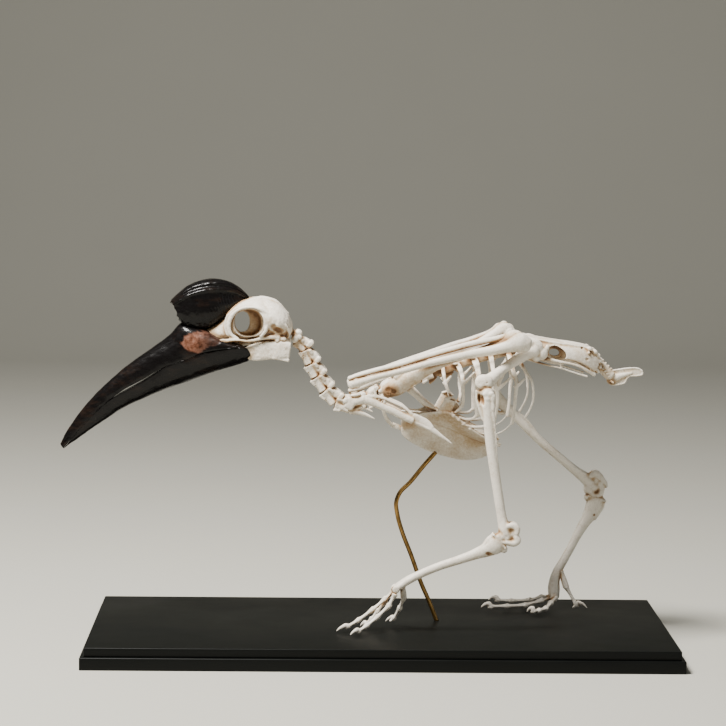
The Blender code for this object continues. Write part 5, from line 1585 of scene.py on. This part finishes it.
def build_step(name, bevel):
    """One step of the base: a block between the CAD node's own bounds, with small rounded edges."""
    low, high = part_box(name)
    bm = bmesh.new()
    bmesh.ops.create_cube(bm, size=1.0)
    bmesh.ops.scale(bm, vec=high - low, verts=bm.verts)
    bmesh.ops.translate(bm, vec=0.5 * (low + high), verts=bm.verts)
    bmesh.ops.bevel(bm, geom=bm.edges[:], offset=bevel, segments=4, profile=0.5, affect="EDGES")
    mesh = bpy.data.meshes.new(name)
    bm.to_mesh(mesh)
    bm.free()
    shown("painted_" + name, mesh, material("black_paint", paint_material), (name,))


def build_rod():
    """The bent brass rod, a circle carried along its path, whose foot stays just inside the base."""
    radius = settings("mount").rod_radius / MM
    grid = carried([(*point, radius, radius) for point in ROD_PATH], around=32, steps=8, dome=0.2)
    grid[..., 2] = np.maximum(grid[..., 2], -0.2)
    shown("brass_rod", mesh_of([grid]), material("aged_brass", brass_material), ("support_rod",))


# Painted shade where bone is crowded and on undersides: a cell in which bone surface is counted, and how far
# each bone takes that shade up

CELL = 0.002
CROWD_SHADE_SHARE = {"sternum": 0.25, "pelvis": 0.7, "skull": 0.8, "mandible_left": 0.4, "mandible_right": 0.4,
             "tail_vertebrae": 0.4, "pygostyle": 0.3}
PALE_HOLLOWS = ("tibiotarsus", "tarsometatarsus")
PALE_SHARE = 0.5
CROWDED_FROM = 0.05
CROWDED_SPAN = 0.10
# How strong the painted shade is where bone is crowded, and on surfaces that face down
CROWDED_PAINTED_SHADE = 0.72
UNDERSIDE_PAINTED_SHADE = 0.24


def scale_attribute(mesh, name, factor, added):
    """Each value of a point attribute times factor, plus what is added."""
    values = np.empty(len(mesh.vertices), dtype=np.float32)
    mesh.attributes[name].data.foreach_get("value", values)
    mesh.attributes[name].data.foreach_set("value", (values * factor + added).astype(np.float32))


def crowding(meshes):
    """How much bone surface each cell holds, in square millimetres to the cubic millimetre, blurred.

    A mesh's area is shared evenly among its points. Three box means of three cells along every axis
    spread each count like a bell curve with a deviation of 1.4 cells.
    """
    low = np.array(CAD_BOX[0]) - 6 * CELL
    shape = tuple(np.ceil((np.array(CAD_BOX[1]) + 6 * CELL - low) / CELL).astype(int))
    cells = np.zeros(shape)
    for mesh in meshes:
        places, _ = arrays(mesh)
        areas = np.empty(len(mesh.polygons))
        mesh.polygons.foreach_get("area", areas)
        area = areas.sum() / len(places)
        index = np.ravel_multi_index(np.floor((places - low) / CELL).astype(int).T, shape, mode="clip")
        cells += np.bincount(index,
                             minlength=cells.size).reshape(shape) * (area / MM ** 2 / (CELL / MM) ** 3)
    for _ in range(3):
        for axis in range(3):
            cells = (np.roll(cells, 1, axis) + cells + np.roll(cells, -1, axis)) / 3
    return cells, low


def read_cells(cells, low, places):
    """The value at each place, taken between the eight nearest cell centres."""
    spot = (places - low) / CELL - 0.5
    base = np.floor(spot).astype(int)
    share = spot - base
    total = np.zeros(len(places))
    for corner in np.ndindex(2, 2, 2):
        weight = np.prod(np.where(corner, share, 1 - share), axis=1)
        x, y, z = np.clip(base + corner, 0, np.array(cells.shape) - 1).T
        total += weight * cells[x, y, z]
    return total


# The stage, in metres and degrees

FLOOR_HALF = 12.0
BEND_START = 3.2
BEND_RADIUS = 1.6
WALL_TOP = 6.0
LIGHT_AIM = (0.0, 0.0, 0.25)
CAMERA_PLACE = (-0.08185, -2.94176, 0.61458)
CAMERA_TURN = (-1.15353, 5.68605, -0.62571)


def area_light(name, place, size, power, colour):
    """A soft rectangular light that looks at the middle of the skeleton."""
    lamp = bpy.data.lights.new(name, "AREA")
    lamp.shape = "RECTANGLE"
    lamp.size = size[0]
    lamp.size_y = size[1]
    lamp.energy = power
    lamp.color = colour
    carrier = bpy.data.objects.new(name, lamp)
    bpy.context.scene.collection.objects.link(carrier)
    direction = Vector(LIGHT_AIM) - Vector(place)
    turn = direction.to_track_quat("-Z", "Y").to_matrix().to_4x4()
    carrier.matrix_world = Matrix.Translation(place) @ turn
    return carrier


def build_floor():
    """A floor that runs back, then up through a quarter circle into a wall."""
    low = CAD_BOX[0][2]
    mesh = bpy.data.meshes.new("floor")
    angle = np.linspace(0, np.pi / 2, 25)
    run = BEND_START + BEND_RADIUS * np.sin(angle)
    profile = [(-FLOOR_HALF, low)] + list(zip(run, low + BEND_RADIUS * (1 - np.cos(angle))))
    profile.append((BEND_START + BEND_RADIUS, WALL_TOP))
    points = [(side, y, z) for y, z in profile for side in (-FLOOR_HALF, FLOOR_HALF)]
    faces = [(i, i + 1, i + 3, i + 2) for i in range(0, len(points) - 2, 2)]
    mesh.from_pydata(points, [], faces)
    mesh.polygons.foreach_set("use_smooth", [True] * len(faces))
    mesh.materials.append(material("pale_floor", floor_material))
    floor = bpy.data.objects.new("floor", mesh)
    bpy.context.scene.collection.objects.link(floor)
    return floor


def place_camera(focal_length):
    """The camera. Its axes are the rows of roll @ pitch @ yaw: right, forward and up."""
    yaw, pitch, roll = np.radians(CAMERA_TURN)
    turn_yaw = np.array([[np.cos(yaw), np.sin(yaw), 0], [-np.sin(yaw), np.cos(yaw), 0], [0, 0, 1]])
    turn_pitch = np.array([[1, 0, 0], [0, np.cos(pitch), -np.sin(pitch)], [0, np.sin(pitch), np.cos(pitch)]])
    turn_roll = np.array([[np.cos(roll), 0, -np.sin(roll)], [0, 1, 0], [np.sin(roll), 0, np.cos(roll)]])
    right, forward, up = turn_roll @ turn_pitch @ turn_yaw
    frame_of_camera = np.eye(4)
    frame_of_camera[:3, :3] = np.stack((right, up, -forward), axis=1)
    frame_of_camera[:3, 3] = CAMERA_PLACE
    lens = bpy.data.cameras.new("camera")
    lens.lens = focal_length
    lens.sensor_width = 36.0
    camera = bpy.data.objects.new("camera", lens)
    bpy.context.scene.collection.objects.link(camera)
    camera.matrix_world = Matrix(frame_of_camera.tolist())
    bpy.context.scene.camera = camera


def set_stage():
    """A pale floor, a large key light at the upper left, a weaker fill, an even world, and the camera."""
    stage = settings("stage")
    floor = build_floor()
    key = area_light("key", place=(-0.95, -0.70, 2.4), size=(0.8, 0.6), power=stage.key,
                     colour=(1.0, 0.97, 0.93))
    fill_light = area_light("fill", place=(1.7, -1.4, 0.9), size=(1.4, 1.4), power=stage.fill,
                            colour=(0.95, 0.97, 1.0))
    world = bpy.data.worlds.new("studio")
    bpy.context.scene.world = world
    world.use_nodes = True
    background = world.node_tree.nodes["Background"]
    background.inputs["Color"].default_value = (0.50, 0.51, 0.46, 1.0)
    background.inputs["Strength"].default_value = 0.13
    place_camera(stage.lens)


# Operators, one for each group of like pieces

class MakeBills(bpy.types.Operator):
    """Makes the two halves of the bill, with a slot below between the branches of the lower one"""
    bl_idname = "skeleton.make_bills"
    bl_label = "Make bills"

    def execute(self, context):
        horn_piece("upper_bill", mesh_of([upper_body(UPPER_BILL)]), bill_relief)
        lower = mesh_of([bodied(LOWER_BILL, level=0.96, power=2.8, around=112, steps=14)])
        slot = [(-246, 0, 284, 0.6, 62), (-232, 0, 284, 3, 62), (-205, 0, 284, 9, 62),
                (-140, 0, 284, 19, 62)]
        lower = without(lower, mesh_of([carried(slot, power=3.4, around=64, dome=0.5)]))
        above = []
        for top_x, top_z, low_x, low_z, half in UPPER_BILL:
            above.append((top_x, top_z, low_x, low_z - 0.35, half + 0.3))
        lower = without(lower, mesh_of([upper_body(above)]))
        horn_piece("lower_bill", lower, bill_relief)
        return {"FINISHED"}


class MakeCasque(bpy.types.Operator):
    """Makes the tall helmet on the bill, with its shoulder ridge, furrow and open front"""
    bl_idname = "skeleton.make_casque"
    bl_label = "Make casque"

    def execute(self, context):
        hollow = [bodied(CASQUE_HOLLOW, level=0.45, power=2.4, around=72)]
        for x, side, z, radius in FRONT_BITES:
            hollow.append(ball((x, side, z), (radius, 1.3 * radius, radius)))
        casque = without(mesh_of([casque_grid()]), remeshed(mesh_of(hollow), 0.0009))
        horn_piece("casque", casque, casque_relief)
        return {"FINISHED"}


class MakeSkull(bpy.types.Operator):
    """Makes the braincase with its eye sockets, cheek bars and brows"""
    bl_idname = "skeleton.make_skull"
    bl_label = "Make skull"

    def execute(self, context):
        grown_bone("skull", skull_grids(), skull_cutters(), step=1.1, smooth=7, spots=SKULL_SHADE_AND_AMBER,
                   rough=1.7, shaft=1.0)
        return {"FINISHED"}


class MakeMandibles(bpy.types.Operator):
    """Makes the bony rear of the lower jaw on both sides"""
    bl_idname = "skeleton.make_mandibles"
    bl_label = "Make mandibles"

    def execute(self, context):
        for side, way in SIDES.items():
            grids = [carried(mirrored(MANDIBLE, way), power=3.0, around=40, dome=0.25)]
            for path, across in MANDIBLE_EDGES:
                grids.append(carried(mirrored(path, way), across=across))
            hollow = carried(mirrored([(-140, 19, 311, 2.2, 3.4), (-126, 20.5, 313, 2.2, 4)], way))
            grown_bone("mandible_" + side, grids, [hollow], step=0.95, rough=2.0, shaft=1.0)
        return {"FINISHED"}


class MakeNeck(bpy.types.Operator):
    """Makes the neck bones one by one along the line of their joints"""
    bl_idname = "skeleton.make_neck"
    bl_label = "Make neck"

    def execute(self, context):
        for index in range(len(NECK_SIZES)):
            grids, cutters, shade_and_stain_spots = neck_bone(index)
            name = "neck_vertebra_%02d" % (index + 1)
            grown_bone(name, grids, cutters, step=0.95, smooth=3, spots=shade_and_stain_spots, rough=2.2, shaft=1.0)
        return {"FINISHED"}


class MakeRibs(bpy.types.Operator):
    """Makes the two halves of the rib cage with its backbone"""
    bl_idname = "skeleton.make_ribs"
    bl_label = "Make ribs"

    def execute(self, context):
        for side, way in SIDES.items():
            # Painted shade along the backbone, which lies under the wing
            shade_and_stain_spots = [(x + 4, way * 3, z - 2, 11, 0.5) for x, z in BACK_LINE]
            grown_bone("rib_cage_" + side, rib_cage_grids(way), step=1.0, smooth=2, spots=shade_and_stain_spots)
        return {"FINISHED"}


class MakeBreastbone(bpy.types.Operator):
    """Makes the breastbone with its keel, notches and rims"""
    bl_idname = "skeleton.make_breastbone"
    bl_label = "Make breastbone"

    def execute(self, context):
        # Soft dark spots; the wide faint one in the middle is painted shade that the wing casts over the
        # breastbone, the smaller ones darken the side wings, the rear and the front
        shade_and_stain_spots = both_sides([(74, 29, 246, 12, 0.35)])
        shade_and_stain_spots += [(80, 0, 216, 56, 0.15), (104, -6, 204, 14, 0.3), (30, -4, 228, 9, 0.45),
                   (78, 0, 236, 20, 0.22)]
        grown_bone("sternum", sternum_grids(), sternum_cutters(), step=1.0, smooth=2, spots=shade_and_stain_spots)
        return {"FINISHED"}


class MakeShoulders(bpy.types.Operator):
    """Makes the wishbone, the coracoids and the shoulder blades"""
    bl_idname = "skeleton.make_shoulders"
    bl_label = "Make shoulders"

    def execute(self, context):
        grown_bone("furcula", wishbone_grids(), smooth=2)
        for side, way in SIDES.items():
            grown_bone("coracoid_" + side, coracoid_grids(way))
            blade = [carried(mirrored(SCAPULA, way), around=24), ball((26, way * 22.6, 276), (3.4, 3, 3.6))]
            grown_bone("scapula_" + side, blade)
        return {"FINISHED"}


class MakeArms(bpy.types.Operator):
    """Makes the upper arms and forearms of both wings"""
    bl_idname = "skeleton.make_arms"
    bl_label = "Make arms"

    def execute(self, context):
        for side in SIDES:
            # The upper arm gets painted shade where it lies under the forearm
            spots = mirrored(ARM_PAINTED_SHADE, SIDES[side])
            grown_bone("humerus_" + side, humerus_grids(side), humerus_cutters(side), step=1.2, spots=spots)
            grown_bone("ulna_" + side, ulna_grids(side), step=1.2, smooth=3)
            grown_bone("radius_" + side, [carried(RADIUS[side], around=26, steps=8)], step=1.2, smooth=3)
        return {"FINISHED"}


class MakeHands(bpy.types.Operator):
    """Makes the fused hand bones, the thumbs and the fingers of both wings"""
    bl_idname = "skeleton.make_hands"
    bl_label = "Make hands"

    def execute(self, context):
        for side in SIDES:
            grown_bone("carpometacarpus_" + side, palm_grids(side), step=1.0)
            thumb = [(x, z + THUMB_LIFT[side], across, deep) for x, z, across, deep in THUMB]
            grown_bone("alula_" + side, [carried(hand_rows(side, thumb))], smooth=2)
            grown_bone("wing_digit_" + side, finger_grids(side), smooth=3)
        return {"FINISHED"}


class MakeHips(bpy.types.Operator):
    """Makes the hip shell with its windows, then everything that stands inside and beside it"""
    bl_idname = "skeleton.make_hips"
    bl_label = "Make hips"

    def execute(self, context):
        shell = without(mesh_of(pelvis_grids()), mesh_of(pelvis_inside()))
        grown_bone("pelvis", pelvis_extra_grids(), pelvis_holes(), step=1.15, spots=PELVIS_STAINS,
                   shell=shell)
        return {"FINISHED"}


class MakeTail(bpy.types.Operator):
    """Makes the free tail bones and the blade that ends the tail"""
    bl_idname = "skeleton.make_tail"
    bl_label = "Make tail"

    def execute(self, context):
        grown_bone("tail_vertebrae", tail_grids(), smooth=2, spots=[(255, 0, 290, 12, 0.3)])
        grown_bone("pygostyle", pygostyle_grids(), smooth=2, spots=[(259, -3, 277, 6, 0.6)])
        return {"FINISHED"}


class MakeLegs(bpy.types.Operator):
    """Makes the thigh, shin and long foot bone of both legs"""
    bl_idname = "skeleton.make_legs"
    bl_label = "Make legs"

    def execute(self, context):
        for side in SIDES:
            grown_bone("femur_" + side, femur_grids(side), femur_cutters(side), step=1.2)
            grown_bone("tibiotarsus_" + side, shin_grids(side), shin_cutters(side), step=1.3)
            grown_bone("tarsometatarsus_" + side, foot_grids(side), foot_cutters(side), step=1.25)
        return {"FINISHED"}


class MakeToes(bpy.types.Operator):
    """Makes the eight toes with their claw bones"""
    bl_idname = "skeleton.make_toes"
    bl_label = "Make toes"

    def execute(self, context):
        for name in TOES:
            grown_bone("toe_" + name, toe_grids(name), step=0.9, smooth=2)
        return {"FINISHED"}


class PaintBoneShade(bpy.types.Operator):
    """Paints shade on the bones where other bone stands close in front of them, as occlusion gives, and on
    their undersides
    """
    bl_idname = "skeleton.age_bones"
    bl_label = "Paint bone shade"

    def execute(self, context):
        shown_meshes = [piece.data for piece in context.scene.objects if piece.type == "MESH"]
        bones = [mesh for mesh in shown_meshes if "hollow" in mesh.attributes]
        crowd = crowding(bones + [mesh for mesh in shown_meshes if "patch" in mesh.attributes])
        for mesh in bones:
            places, _ = arrays(mesh)
            facing = normals(mesh)
            # Painted shade where other bone crowds in front of a surface, and painted shade on undersides
            near = read_cells(*crowd, places + 2.0 * CELL * facing)
            closed_in = np.clip((near - CROWDED_FROM) / CROWDED_SPAN, 0.0, 1.0)
            downward = np.clip(-facing[:, 2], 0.0, 1.0)
            share = CROWDED_PAINTED_SHADE * CROWD_SHADE_SHARE.get(mesh.name.split(".")[0], 1.0)
            scale_attribute(mesh, "stain", 1.0, share * closed_in + UNDERSIDE_PAINTED_SHADE * downward ** 2)
            # Shin and foot bones keep only half the painted shade in their hollows
            if mesh.name.startswith(PALE_HOLLOWS):
                scale_attribute(mesh, "hollow", PALE_SHARE, 0.0)
        return {"FINISHED"}


class MakeMount(bpy.types.Operator):
    """Makes the two steps of the base and the bent rod"""
    bl_idname = "skeleton.make_mount"
    bl_label = "Make mount"

    def execute(self, context):
        build_step("base_lower_step", 0.0009)
        build_step("base_upper_step", 0.0007)
        build_rod()
        return {"FINISHED"}


class SetStage(bpy.types.Operator):
    """Sets the floor, the lights, the world and the camera"""
    bl_idname = "skeleton.set_stage"
    bl_label = "Set stage"

    def execute(self, context):
        set_stage()
        return {"FINISHED"}


MAKERS = (MakeBills, MakeCasque, MakeSkull, MakeMandibles, MakeNeck, MakeRibs, MakeBreastbone, MakeShoulders,
          MakeArms, MakeHands, MakeHips, MakeTail, MakeLegs, MakeToes, PaintBoneShade, MakeMount, SetStage)
GROUPS = {"bone": BoneSettings, "horn": HornSettings, "mount": MountSettings, "stage": StageSettings}


class SkeletonPanel(bpy.types.Panel):
    """Sizes, colours and makers of the skeleton"""
    bl_idname = "VIEW3D_PT_skeleton"
    bl_label = "Hornbill skeleton"
    bl_space_type = "VIEW_3D"
    bl_region_type = "UI"
    bl_category = "Skeleton"

    def draw(self, context):
        for group, kind in GROUPS.items():
            for name in kind.__annotations__:
                self.layout.prop(settings(group), name)
        for maker in MAKERS:
            self.layout.operator(maker.bl_idname)


def register():
    """Adds the classes, and the settings to every scene."""
    for kind in (*GROUPS.values(), *MAKERS, SkeletonPanel):
        bpy.utils.register_class(kind)
    for name, kind in GROUPS.items():
        setattr(bpy.types.Scene, name, PointerProperty(type=kind))


def unregister():
    """Takes away what register added."""
    for name in GROUPS:
        delattr(bpy.types.Scene, name)
    for kind in reversed((*GROUPS.values(), *MAKERS, SkeletonPanel)):
        bpy.utils.unregister_class(kind)


def main():
    """Builds the skeleton and its stage."""
    register()
    for maker in MAKERS:
        group, name = maker.bl_idname.split(".")
        getattr(getattr(bpy.ops, group), name)()


if __name__ == "__main__":
    main()
